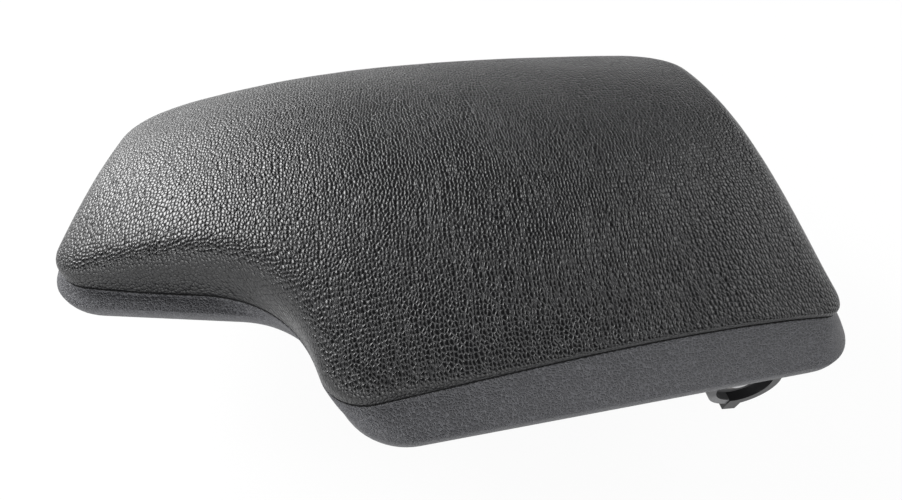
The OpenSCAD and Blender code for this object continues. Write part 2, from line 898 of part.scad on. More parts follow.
// Conical washers that press the discs, between them and the barrels
module spring_washers() {
    y0 = ear_y + flange_t + 2 * disc_gap + disc_t;
    room = barrel_start_y - disc_gap - y0;
    inner = pin_r + pin_gap;
    color("#8f9194")
        at_hinge()
            for (side = [-1, 1])
                rotate([side * -90, 0, 0])
                    translate([0, 0, y0])
                        rotate_extrude()
                            polygon([
                                [inner, room - washer_t],
                                [inner, room],
                                [washer_r, washer_t],
                                [washer_r, 0]
                            ]);
}

module bracket_ear_2d() {
    foot = -hinge_h + sheet_t / 2;
    circle(eye_r);
    polygon([
        [base_front + ear_in, foot],
        [base_rear - ear_in, foot],
        [eye_r, 0],
        [-eye_r, 0]
    ]);
}

module hinge_bracket() {
    base_z = -hinge_h;
    color("#4b4c50")
        at_hinge()
            difference() {
                union() {
                    translate([0, 0, base_z])
                        linear_extrude(sheet_t)
                            rounded_plate_2d(base_front, base_rear, base_half_w, base_corner_r);
                    translate([base_front, -ear_y + base_corner_r, base_z])
                        cube([sheet_t, 2 * (ear_y - base_corner_r), front_flange_h]);
                    for (y = [-ear_y, ear_y - sheet_t]) upright(y, sheet_t) bracket_ear_2d();
                    translate([base_rear - sheet_t, -stop_w / 2, base_z])
                        cube([sheet_t, stop_w, hinge_h + tab_top]);
                }
                upright(-ear_y - over, 2 * (ear_y + over)) circle(bush_r + bush_fit);
                for (x = [-bolt_dx / 2, bolt_dx / 2], y = [-bolt_dy / 2, bolt_dy / 2])
                    translate([x - hinge_x, y, base_z - over]) cylinder(r = bolt_r, h = sheet_t + 2 * over);
                translate([-hinge_x, 0, base_z - over])
                    linear_extrude(sheet_t + 2 * over) long_hole_2d(slot_l, slot_r);
            }
}

module rounded_plate_2d(x0, x1, half_w, r) {
    translate([x0 + r, -half_w]) square([x1 - x0 - 2 * r, 2 * half_w]);
    translate([x0, -half_w + r]) square([x1 - x0, 2 * (half_w - r)]);
    for (x = [x0 + r, x1 - r], y = [-half_w + r, half_w - r]) translate([x, y]) circle(r);
}

// A hole with round ends, along Y
module long_hole_2d(l, r) {
    translate([-r, -l / 2 + r]) square([2 * r, l - 2 * r]);
    for (y = [-l / 2 + r, l / 2 - r]) translate([0, y]) circle(r);
}

module bracket_bushes() {
    color("#b08d57")
        at_hinge()
            for (side = [-1, 1]) {
                upright(side < 0 ? -ear_y : ear_y - sheet_t - bush_over, sheet_t + bush_over)
                    ring_2d(bush_r, pin_r + pin_gap);
                upright(side < 0 ? -ear_y - flange_t : ear_y, flange_t)
                    ring_2d(flange_r, pin_r + pin_gap);
            }
}

// Rubber pad behind the hinge: its face is where the liner lands when fully open
module stop_pad() {
    reach = hinge_drop + liner_z - pad_gap;
    liner_rear = rear_x - rear_rake - liner_in;
    pad_bottom = reach * cos(open_angle) - liner_rear * sin(open_angle);
    function face_x(z) = (reach - z * cos(open_angle)) / sin(open_angle);
    color("#1b1b1c")
        at_hinge()
            upright(-stop_w / 2 + pad_in, stop_w - 2 * pad_in)
                polygon([
                    [base_rear, pad_bottom],
                    [face_x(pad_bottom), pad_bottom],
                    [face_x(tab_top), tab_top],
                    [base_rear, tab_top]
                ]);
}

module latch_housing() {
    bridge_z = spring_z1 + spring_gap;
    post_over = 2;
    cheek_y = hook_t / 2 + hook_side_gap + cheek_t / 2;
    color("#1f2023")
        at_lid()
            difference() {
                union() {
                    translate([housing_front, latch_y - housing_half_w, liner_top])
                        cube([housing_l, 2 * housing_half_w, housing_t]);
                    for (y = [-side_y - cheek_t, side_y])
                        translate([button_front - post_over, latch_y + y, liner_top])
                            cube([button_l + 2 * post_over, cheek_t, bridge_z + bridge_t - liner_top]);
                    translate([button_front - post_over, latch_y - side_y - cheek_t, bridge_z])
                        cube([button_l + 2 * post_over, 2 * (side_y + cheek_t), bridge_t]);
                    for (side = [-1, 1])
                        upright(latch_y + side * cheek_y - cheek_t / 2, cheek_t)
                            translate([pivot_x, 0]) latch_cheek_2d();
                }
                upright(latch_y - housing_half_w, 2 * housing_half_w)
                    translate([pivot_x, pivot_z]) circle(latch_pin_r + latch_pin_gap);
                translate([
                    button_front - flange_over - button_gap,
                    latch_y - button_w / 2 - flange_over - button_gap,
                    liner_top - over
                ])
                    cube([
                        pivot_x - hook_boss_r - button_front,
                        button_w + 2 * (flange_over + button_gap),
                        housing_t + over + tiny
                    ]);
                hook_slot(liner_top - over, housing_t + over + tiny);
                for (p = latch_screw_places())
                    translate([p.x, p.y, liner_top - over])
                        cylinder(r = latch_screw_r + screw_pass, h = housing_t + 2 * over);
            }
}

module latch_cheek_2d() {
    cheek_r = hook_boss_r + 0.5;
    translate([0, pivot_z]) circle(cheek_r);
    translate([-cheek_r, liner_top]) square([2 * cheek_r, pivot_z - liner_top]);
}

function latch_screw_places() = [
    for (
        x = [housing_front + screw_front_in, housing_front + housing_l - screw_rear_in],
        side = [-1, 1]
    )
        [x, latch_y + side * (housing_half_w - screw_side_in)]
];

module latch_screws() {
    color("#77787b")
        at_lid()
            for (p = latch_screw_places())
                translate([p.x, p.y, liner_top + housing_t])
                    rotate([180, 0, 0])
                        screw(latch_screw_r, housing_t, 2 * latch_screw_r, latch_screw_head_h);
}

module latch_pin() {
    half = hook_t / 2 + hook_side_gap + cheek_t + latch_pin_over;
    color("#9a9ca0")
        at_lid() {
            upright(latch_y - half, 2 * half) translate([pivot_x, pivot_z]) circle(latch_pin_r);
            upright(latch_y - half - latch_pin_head_t, latch_pin_head_t)
                translate([pivot_x, pivot_z]) circle(latch_pin_r + latch_pin_head);
        }
}

// Hook seen from the side: boss, lever to the front, shank down to a nose at the rear
module hook_2d() {
    shank_x = hook_shank / 2;
    heel = 2;
    tip_low = 4.5;
    tip_high = 6;
    seat = 7;
    circle(hook_boss_r);
    polygon([
        [-shank_x, 0],
        [-shank_x, -hook_reach + heel],
        [-shank_x + heel, -hook_reach],
        [shank_x, -hook_reach],
        [shank_x + nose_l, -hook_reach + tip_low],
        [shank_x + nose_l, -hook_reach + tip_high],
        [shank_x, -hook_reach + seat],
        [shank_x, 0]
    ]);
    translate([-lever_l, -lever_t / 2]) square([lever_l, lever_t]);
}

module latch_hook() {
    color("#8f9194")
        at_lid()
            upright(latch_y - hook_t / 2, hook_t)
                translate([pivot_x, pivot_z])
                    difference() {
                        hook_2d();
                        circle(latch_pin_r + latch_pin_gap);
                    }
}

// Button with its retaining flange and the fork that holds the hook's lever
module release_button() {
    fork_in = 0.6;
    fork_x = pivot_x - lever_l - fork_in;
    prong = 1.6;
    root = 2;
    tongue_top = pivot_z - lever_t / 2 - lever_gap;
    finger_z = pivot_z + lever_t / 2 + lever_gap;
    flange_rear = button_front + button_l + flange_over;
    grips = 4;
    groove = 1;
    groove_in = 4;
    color("#222326")
        at_lid()
            difference() {
                union() {
                    translate([button_front, latch_y - button_w / 2, button_z])
                        cube([button_l, button_w, button_flange_z - button_z + tiny]);
                    translate([
                        button_front - flange_over,
                        latch_y - button_w / 2 - flange_over,
                        button_flange_z
                    ])
                        cube([button_l + 2 * flange_over, button_w + 2 * flange_over, button_flange_t]);
                    upright(latch_y - finger_w / 2, finger_w)
                        polygon([
                            [flange_rear - root, button_flange_z],
                            [flange_rear, button_flange_z],
                            [fork_x, tongue_top - finger_t],
                            [fork_x + prong, tongue_top - finger_t],
                            [fork_x + prong, tongue_top],
                            [fork_x, tongue_top],
                            [fork_x, finger_z],
                            [fork_x + prong, finger_z],
                            [fork_x + prong, finger_z + finger_t],
                            [fork_x - prong, finger_z + finger_t],
                            [fork_x - prong, tongue_top],
                            [flange_rear - root, button_flange_z + button_flange_t]
                        ]);
                }
                for (k = [1:grips])
                    translate([
                        button_front + button_l * k / (grips + 1) - groove / 2,
                        latch_y - button_w / 2 + groove_in,
                        button_z - over
                    ])
                        cube([groove, button_w - 2 * groove_in, over + groove / 2]);
            }
}

// A round wire wound along Z between two heights
module coil_spring(r, wire, turns, z0, z1) {
    n = turns * spring_steps;
    function spot(k) = [r * cos(360 * k / spring_steps), r * sin(360 * k / spring_steps)];
    function height(k) = lerp(z0 + wire / 2, z1 - wire / 2, k / n);
    rings = [
        for (k = [0:n])
            [
                for (s = [0:spring_sides - 1])
                    let (a = 360 * s / spring_sides, o = wire / 2 * cos(a))
                    concat(spot(k) * (1 + o / r), [height(k) + wire / 2 * sin(a)])
            ]
    ];
    sides = [
        for (k = [0:n - 1], s = [0:spring_sides - 1])
            let (
                t = (s + 1) % spring_sides,
                a = k * spring_sides + s,
                b = k * spring_sides + t,
                c = (k + 1) * spring_sides + t,
                d = (k + 1) * spring_sides + s
            )
            each [[a, b, c], [a, c, d]]
    ];
    start = [for (s = [spring_sides - 1:-1:0]) s];
    end = [for (s = [0:spring_sides - 1]) n * spring_sides + s];
    polyhedron(points = [for (g = rings) each g], faces = concat(sides, [start, end]));
}

module button_spring() {
    color("#b9bbbe")
        at_lid()
            translate([button_front + button_l / 2, latch_y, 0])
                coil_spring(spring_r, wire_d, spring_turns, spring_z0, spring_z1);
}

leather_top();
leather_band();
foam_pad();
carrier();
liner();
liner_screws();
buffers();
hinge_frame();
hinge_screws();
hinge_pin();
pin_clip();
barrel_guard();
friction_discs();
spring_washers();
latch_housing();
latch_screws();
latch_pin();
latch_hook();
release_button();
button_spring();
hinge_bracket();
bracket_bushes();
stop_pad();
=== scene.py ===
"""Looks of a padded leather armrest lid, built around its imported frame.

Lengths inside the classes are millimetres in the lid's own frame: x runs to the rear from the
hinge axis, y to the straight far side, z up from the lid's lower edge. Meshes are made in metres
in the frame's own axes.
"""

from __future__ import annotations

import json
import logging
import math
from dataclasses import dataclass, field
from enum import Enum
from typing import Any, Callable, Sequence, Union

import bpy
import numpy as np
from mathutils import Matrix, Quaternion, Vector, noise

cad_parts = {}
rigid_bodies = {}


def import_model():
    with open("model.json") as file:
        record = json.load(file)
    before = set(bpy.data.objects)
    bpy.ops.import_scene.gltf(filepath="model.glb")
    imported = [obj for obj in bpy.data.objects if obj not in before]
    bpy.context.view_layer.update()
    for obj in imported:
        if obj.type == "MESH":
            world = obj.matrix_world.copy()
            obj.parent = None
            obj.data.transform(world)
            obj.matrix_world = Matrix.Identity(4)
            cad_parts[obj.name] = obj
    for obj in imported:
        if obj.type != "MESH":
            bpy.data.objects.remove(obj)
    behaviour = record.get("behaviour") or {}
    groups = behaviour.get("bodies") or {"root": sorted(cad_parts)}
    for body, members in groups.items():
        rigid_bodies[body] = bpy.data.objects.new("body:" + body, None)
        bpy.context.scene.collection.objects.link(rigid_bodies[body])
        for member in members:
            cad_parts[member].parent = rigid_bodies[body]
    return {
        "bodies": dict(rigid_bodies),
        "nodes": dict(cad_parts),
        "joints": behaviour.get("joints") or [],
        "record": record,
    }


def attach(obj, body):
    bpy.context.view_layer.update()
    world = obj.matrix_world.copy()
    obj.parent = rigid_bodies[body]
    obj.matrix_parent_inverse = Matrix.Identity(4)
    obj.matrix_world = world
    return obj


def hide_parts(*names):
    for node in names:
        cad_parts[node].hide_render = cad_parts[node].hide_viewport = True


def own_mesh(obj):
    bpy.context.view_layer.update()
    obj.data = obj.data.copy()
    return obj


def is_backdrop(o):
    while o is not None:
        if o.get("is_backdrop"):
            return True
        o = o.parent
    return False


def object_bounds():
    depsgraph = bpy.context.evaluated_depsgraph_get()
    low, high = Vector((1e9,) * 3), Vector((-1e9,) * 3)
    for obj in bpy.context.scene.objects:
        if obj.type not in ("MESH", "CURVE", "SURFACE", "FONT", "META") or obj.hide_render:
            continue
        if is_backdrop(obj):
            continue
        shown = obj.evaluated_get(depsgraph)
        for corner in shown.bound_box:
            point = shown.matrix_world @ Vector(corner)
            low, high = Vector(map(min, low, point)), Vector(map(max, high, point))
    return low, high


LOG = logging.getLogger("armrest")
MM = 0.001
LID_ORIGIN = np.array([11.0, 0.0, 65.0])
HIDE = "hide"

Term = Union["Signal", float]


# --------------------------------------------------------------------------- shader tools


class Signal:
    """A number socket that takes part in Python arithmetic."""

    def __init__(self, paint: "Paint", socket: bpy.types.NodeSocket) -> None:
        """Wrap a socket.

        Args:
            paint: The material the socket belongs to.
            socket: The output socket.
        """
        self.paint = paint
        self.socket = socket

    def _math(self, operation: str, first: Term, second: Term = 0.0) -> "Signal":
        """Add one Math node."""
        node = self.paint.node("ShaderNodeMath", {"operation": operation}, {0: first, 1: second})
        return Signal(self.paint, node.outputs[0])

    def __add__(self, other: Term) -> "Signal":
        """Sum."""
        return self._math("ADD", self, other)

    def __radd__(self, other: Term) -> "Signal":
        """Sum with a number on the left."""
        return self._math("ADD", other, self)

    def __sub__(self, other: Term) -> "Signal":
        """Difference."""
        return self._math("SUBTRACT", self, other)

    def __rsub__(self, other: Term) -> "Signal":
        """Difference with a number on the left."""
        return self._math("SUBTRACT", other, self)

    def __mul__(self, other: Term) -> "Signal":
        """Product."""
        return self._math("MULTIPLY", self, other)

    def __rmul__(self, other: Term) -> "Signal":
        """Product with a number on the left."""
        return self._math("MULTIPLY", other, self)

    def higher(self, other: Term) -> "Signal":
        """The larger of two."""
        return self._math("MAXIMUM", self, other)

    def ramp(self, low: float, high: float, start: float = 0.0, end: float = 1.0) -> "Signal":
        """Smooth step from start at low to end at high.

        Args:
            low: Input at which the step starts.
            high: Input at which it ends.
            start: Output below low.
            end: Output above high.

        Returns:
            The stepped signal.
        """
        node = self.paint.node(
            "ShaderNodeMapRange",
            {"interpolation_type": "SMOOTHSTEP"},
            {0: self, 1: low, 2: high, 3: start, 4: end},
        )
        return Signal(self.paint, node.outputs[0])


class Paint:
    """A material under construction."""

    def __init__(self, name: str, owner: bpy.types.World | None = None) -> None:
        """Start an empty material, or the surroundings of a scene.

        Args:
            name: The material's name.
            owner: The world that gets the nodes instead of a new material.
        """
        self.material = owner or bpy.data.materials.new(name)
        self.material.use_nodes = True
        self.tree = self.material.node_tree
        self.tree.nodes.clear()
        self._place: bpy.types.NodeSocket | None = None

    def node(
        self,
        kind: str,
        settings: dict[str, Any] | None = None,
        sockets: dict[int | str, Any] | None = None,
    ) -> bpy.types.Node:
        """Add a node.

        Args:
            kind: The node's type.
            settings: Its properties, set first, such as a Math node's operation.
            sockets: Values or links of its inputs, by index or name.

        Returns:
            The node.
        """
        made = self.tree.nodes.new(kind)
        for key, value in (settings or {}).items():
            setattr(made, key, value)
        for key, value in (sockets or {}).items():
            if isinstance(value, Signal):
                self.tree.links.new(value.socket, made.inputs[key])
            elif isinstance(value, bpy.types.NodeSocket):
                self.tree.links.new(value, made.inputs[key])
            else:
                made.inputs[key].default_value = value
        return made

    def place(self) -> bpy.types.NodeSocket:
        """Position on the piece, in metres."""
        if self._place is None:
            self._place = self.node("ShaderNodeTexCoord").outputs["Object"]
        return self._place

    def hide(self) -> bpy.types.NodeSocket:
        """Position on the flat hide that a cover was cut from, in metres."""
        return self.node("ShaderNodeAttribute", {"attribute_name": HIDE}).outputs["Vector"]

    def vector(self, operation: str, *terms: Any) -> bpy.types.NodeSocket:
        """Add one Vector Math node.

        Args:
            operation: Its operation; SCALE takes a vector and a number.
            terms: Vectors, sockets or, for SCALE, a number last.

        Returns:
            The vector output.
        """
        sockets: dict[int | str, Any] = {0: terms[0]}
        if operation == "SCALE":
            sockets["Scale"] = terms[1]
        else:
            sockets[1] = terms[1]
        return self.node("ShaderNodeVectorMath", {"operation": operation}, sockets).outputs[0]

    def _noise(self, at: bpy.types.NodeSocket, per_metre: float, detail: float) -> bpy.types.Node:
        """Add one Noise node."""
        sockets: dict[int | str, Any] = {"Vector": at, "Scale": per_metre, "Detail": detail}
        return self.node("ShaderNodeTexNoise", None, sockets)

    def cloud(self, at: bpy.types.NodeSocket, per_metre: float, detail: float = 2.0) -> Signal:
        """Soft noise from 0 to 1.

        Args:
            at: Where it is read.
            per_metre: Its frequency.
            detail: Its octaves.

        Returns:
            The noise.
        """
        return Signal(self, self._noise(at, per_metre, detail).outputs["Fac"])

    def bent(
        self, at: bpy.types.NodeSocket, per_metre: float, reach: float
    ) -> bpy.types.NodeSocket:
        """Positions moved about by noise.

        Args:
            at: The positions.
            per_metre: The noise's frequency.
            reach: The largest move, in metres.

        Returns:
            The moved positions.
        """
        moved = self._noise(at, per_metre, 1.0).outputs["Color"]
        centred = self.vector("SUBTRACT", moved, (0.5, 0.5, 0.5))
        return self.vector("ADD", at, self.vector("SCALE", centred, 2 * reach))

    def cells(
        self,
        at: bpy.types.NodeSocket,
        per_metre: float,
        feature: str = "DISTANCE_TO_EDGE",
        jitter: float = 1.0,
        flat: bool = False,
    ) -> Signal:
        """Cell pattern.

        Args:
            at: Where it is read.
            per_metre: Cells per metre.
            feature: Which distance is given.
            jitter: How irregular the cells are.
            flat: Whether the cells lie in a plane.

        Returns:
            The distance, in cells.
        """
        node = self.node(
            "ShaderNodeTexVoronoi",
            {"feature": feature, "voronoi_dimensions": "2D" if flat else "3D"},
            {"Vector": at, "Scale": per_metre, "Randomness": jitter},
        )
        return Signal(self, node.outputs["Distance"])

    def blend(self, share: Term, first: Any, second: Any) -> Any:
        """Mix two colours.

        Args:
            share: Share of the second colour.
            first: RGB or a colour socket.
            second: RGB or a colour socket.

        Returns:
            The mixed colour's socket.
        """

        def colour(value: Any) -> Any:
            return value if isinstance(value, bpy.types.NodeSocket) else (*value, 1.0)

        node = self.node(
            "ShaderNodeMix", {"data_type": "RGBA"}, {0: share, 6: colour(first), 7: colour(second)}
        )
        return node.outputs[2]

    def relief(self, height: Signal, depth: float, strength: float = 1.0, under: Any = None) -> Any:
        """Bump from a height signal.

        Args:
            height: The signal, from 0 to 1.
            depth: The relief's depth, in metres.
            strength: Its strength.
            under: A normal to start from.

        Returns:
            The normal's socket.
        """
        sockets: dict[int | str, Any] = {"Height": height, "Distance": depth, "Strength": strength}
        if under is not None:
            sockets["Normal"] = under
        return self.node("ShaderNodeBump", None, sockets).outputs["Normal"]

    def finish(self, **values: Any) -> bpy.types.Material:
        """Add the surface shader.

        Args:
            values: Its sockets, with spaces written as underscores.

        Returns:
            The material.
        """
        sockets: dict[int | str, Any] = {
            key.replace("_", " "): value for key, value in values.items()
        }
        shader = self.node("ShaderNodeBsdfPrincipled", None, sockets)
        self.node("ShaderNodeOutputMaterial", None, {"Surface": shader.outputs[0]})
        return self.material


# --------------------------------------------------------------------------- finishes


@dataclass(frozen=True)
class TopLeather:
    """Pebble-grained leather of the crowned top."""

    dressed: tuple[float, float, float] = (0.005, 0.0051, 0.0056)
    # crease: lighter than the dressed face, partly a worn finish and partly painted sheen that
    # stands in for the crease walls catching the lamps
    crease: tuple[float, float, float] = (0.02, 0.0204, 0.0224)
    pebbles_per_metre: float = 700.0
    pebble_jitter: float = 0.8
    folds_per_metre: float = 260.0
    grain_depth: float = 0.00046
    roughness: float = 0.26
    crease_roughness: float = 0.26
    gloss: float = 0.66
    bends: tuple[tuple[float, float], ...] = ((14.0, 0.006), (70.0, 0.0007))
    wobble: tuple[float, float] = (420.0, 0.00022)
    pebble_stretch: tuple[float, float, float] = (1.0, 0.72, 1.0)
    fold_stretch: tuple[float, float, float] = (1.0, 0.2, 1.0)
    groove: float = 0.2
    fold_width: float = 0.07

    def material(self) -> bpy.types.Material:
        """Build the material."""
        paint = Paint("top_leather_grain")
        flow = paint.hide()
        for per_metre, reach in self.bends:
            flow = paint.bent(flow, per_metre, reach)
        drawn = paint.vector("MULTIPLY", paint.bent(flow, *self.wobble), self.pebble_stretch)
        edge = paint.cells(drawn, self.pebbles_per_metre, jitter=self.pebble_jitter, flat=True)
        middle = paint.cells(drawn, self.pebbles_per_metre, "F1", self.pebble_jitter, True)
        pebble = edge.ramp(0.0, self.groove)
        dome = 1.0 - middle * middle * 1.5
        long_at = paint.vector("MULTIPLY", flow, self.fold_stretch)
        fold = paint.cells(long_at, self.folds_per_metre, flat=True)
        line = 1.0 - fold.ramp(0.0, self.fold_width)
        line = line * paint.cloud(flow, 34.0).ramp(0.36, 0.58)
        pores = paint.cloud(paint.hide(), 2600.0, 1.0)
        height = pebble * 0.32 + dome * 0.72 - line * 0.3 + pores * 0.05
        normal = paint.relief(height, self.grain_depth)
        tone = paint.cloud(paint.hide(), 26.0, 3.0)
        broken = paint.cloud(flow, 620.0, 1.0).ramp(0.34, 0.6, 0.35, 1.0)
        # Creases and fold lines get the lighter crease colour: part worn finish, part painted sheen
        # standing in for light their walls catch
        low = ((1.0 - pebble) * broken).higher(line * 0.95)
        colour = paint.blend(low * (0.75 + tone * 0.5), self.dressed, self.crease)
        rough = self.roughness + low * self.crease_roughness + tone * 0.06
        return paint.finish(
            Base_Color=colour, Roughness=rough, Normal=normal, Specular_IOR_Level=self.gloss
        )


@dataclass(frozen=True)
class BandLeather:
    """Finer leather of the side band, with faint wrinkles along it."""

    dressed: tuple[float, float, float] = (0.038, 0.0384, 0.043)
    crease: tuple[float, float, float] = (0.092, 0.093, 0.103)
    pebbles_per_metre: float = 760.0
    grain_depth: float = 0.00026
    wobble: tuple[float, float] = (420.0, 0.0005)
    groove: float = 0.22
    wrinkles_per_metre: float = 560.0
    wrinkle_depth: float = 0.00022
    wrinkle_bend: tuple[float, float] = (30.0, 0.003)
    wrinkle_stretch: tuple[float, float, float] = (0.1, 0.1, 1.0)
    roughness: float = 0.46
    gloss: float = 0.7

    def material(self) -> bpy.types.Material:
        """Build the material."""
        paint = Paint("band_leather_grain")
        fine = paint.bent(paint.place(), *self.wobble)
        pebble = paint.cells(fine, self.pebbles_per_metre, jitter=0.9).ramp(0.0, self.groove)
        slack_at = paint.bent(paint.place(), *self.wrinkle_bend)
        along = paint.vector("MULTIPLY", slack_at, self.wrinkle_stretch)
        wrinkle = paint.cloud(along, self.wrinkles_per_metre, 3.0)
        presence = paint.cloud(paint.place(), 14.0).ramp(0.4, 0.62)
        slack = paint.relief(wrinkle * presence, self.wrinkle_depth)
        normal = paint.relief(pebble, self.grain_depth, under=slack)
        tone = paint.cloud(paint.place(), 30.0, 3.0)
        low = (1.0 - pebble) * 0.7 + tone * 0.3
        colour = paint.blend(low, self.dressed, self.crease)
        rough = self.roughness + (1.0 - pebble) * 0.12 + tone * 0.06
        return paint.finish(
            Base_Color=colour, Roughness=rough, Normal=normal, Specular_IOR_Level=self.gloss
        )


@dataclass(frozen=True)
class Thread:
    """Black sewing thread, matt and hairy."""

    colour: tuple[float, float, float] = (0.004, 0.004, 0.0045)
    worn: tuple[float, float, float] = (0.01, 0.01, 0.011)
    fibres_per_metre: float = 2400.0
    gloss: float = 0.2

    def material(self) -> bpy.types.Material:
        """Build the material."""
        paint = Paint("seam_thread")
        fibre = paint.cloud(paint.place(), self.fibres_per_metre, 2.0)
        colour = paint.blend(fibre.ramp(0.45, 0.75), self.colour, self.worn)
        return paint.finish(
            Base_Color=colour,
            Roughness=0.8 - fibre * 0.1,
            Normal=paint.relief(fibre, 0.0001),
            Specular_IOR_Level=self.gloss,
        )


@dataclass(frozen=True)
class MouldedPlastic:
    """Textured plastic with a fine spark grain."""

    name: str
    colour: tuple[float, float, float]
    grain_per_metre: float = 1500.0
    grain_depth: float = 0.00006
    roughness: float = 0.5

    def material(self) -> bpy.types.Material:
        """Build the material."""
        paint = Paint(self.name)
        grain = paint.cloud(paint.place(), self.grain_per_metre, 3.0)
        pits = paint.cells(paint.place(), self.grain_per_metre * 0.5, "F1")
        drift = paint.cloud(paint.place(), 40.0, 2.0)
        normal = paint.relief(grain * 0.6 + pits * 0.4, self.grain_depth)
        light = tuple(min(1.0, 1.7 * c + 0.004) for c in self.colour)
        colour = paint.blend(drift.ramp(0.3, 0.8) * 0.5, self.colour, light)
        rough = self.roughness + (drift - 0.5) * 0.16 + grain * 0.06
        return paint.finish(Base_Color=colour, Roughness=rough, Normal=normal)


class Tooling(Enum):
    """How a metal piece was made, which sets its surface."""

    CAST = "cast"
    TURNED = "turned"
    SHEET = "sheet"


@dataclass(frozen=True)
class Metal:
    """A metal piece, bare or coated."""

    name: str
    colour: tuple[float, float, float]
    tooling: Tooling
    roughness: float = 0.35
    metallic: float = 1.0

    def _height(self, paint: Paint) -> tuple[Signal, float]:
        """Surface height for the tooling.

        Args:
            paint: The material under construction.

        Returns:
            The height signal and its depth in metres.
        """
        if self.tooling is Tooling.CAST:
            return paint.cloud(paint.place(), 900.0, 4.0), 0.00009
        if self.tooling is Tooling.TURNED:
            drawn = paint.vector("MULTIPLY", paint.place(), (1.0, 0.06, 1.0))
            return paint.cloud(drawn, 2600.0, 3.0), 0.00003
        return paint.cloud(paint.place(), 260.0, 5.0), 0.00006

    def material(self) -> bpy.types.Material:
        """Build the material."""
        paint = Paint(self.name)
        height, depth = self._height(paint)
        normal = paint.relief(height, depth)
        stain = paint.cloud(paint.place(), 90.0, 4.0)
        dull = tuple(0.6 * c for c in self.colour)
        colour = paint.blend(stain.ramp(0.4, 0.75), self.colour, dull)
        rough = self.roughness + stain.ramp(0.35, 0.8) * 0.2 + height * 0.05
        return paint.finish(
            Base_Color=colour, Roughness=rough, Normal=normal, Metallic=self.metallic
        )


@dataclass(frozen=True)
class Foam:
    """Moulded foam with open cells under a thin skin."""

    colour: tuple[float, float, float] = (0.42, 0.40, 0.34)
    pore: tuple[float, float, float] = (0.22, 0.2, 0.16)

    def material(self) -> bpy.types.Material:
        """Build the material."""
        paint = Paint("moulded_foam")
        pores = paint.cells(paint.place(), 700.0, "F1").ramp(0.15, 0.5)
        drift = paint.cloud(paint.place(), 60.0, 3.0)
        normal = paint.relief(1.0 - pores * 0.8 + drift * 0.2, 0.0004)
        colour = paint.blend(pores * 0.5 + drift * 0.2, self.pore, self.colour)
        return paint.finish(Base_Color=colour, Roughness=0.9 - drift * 0.1, Normal=normal)


# --------------------------------------------------------------------------- the pad's form


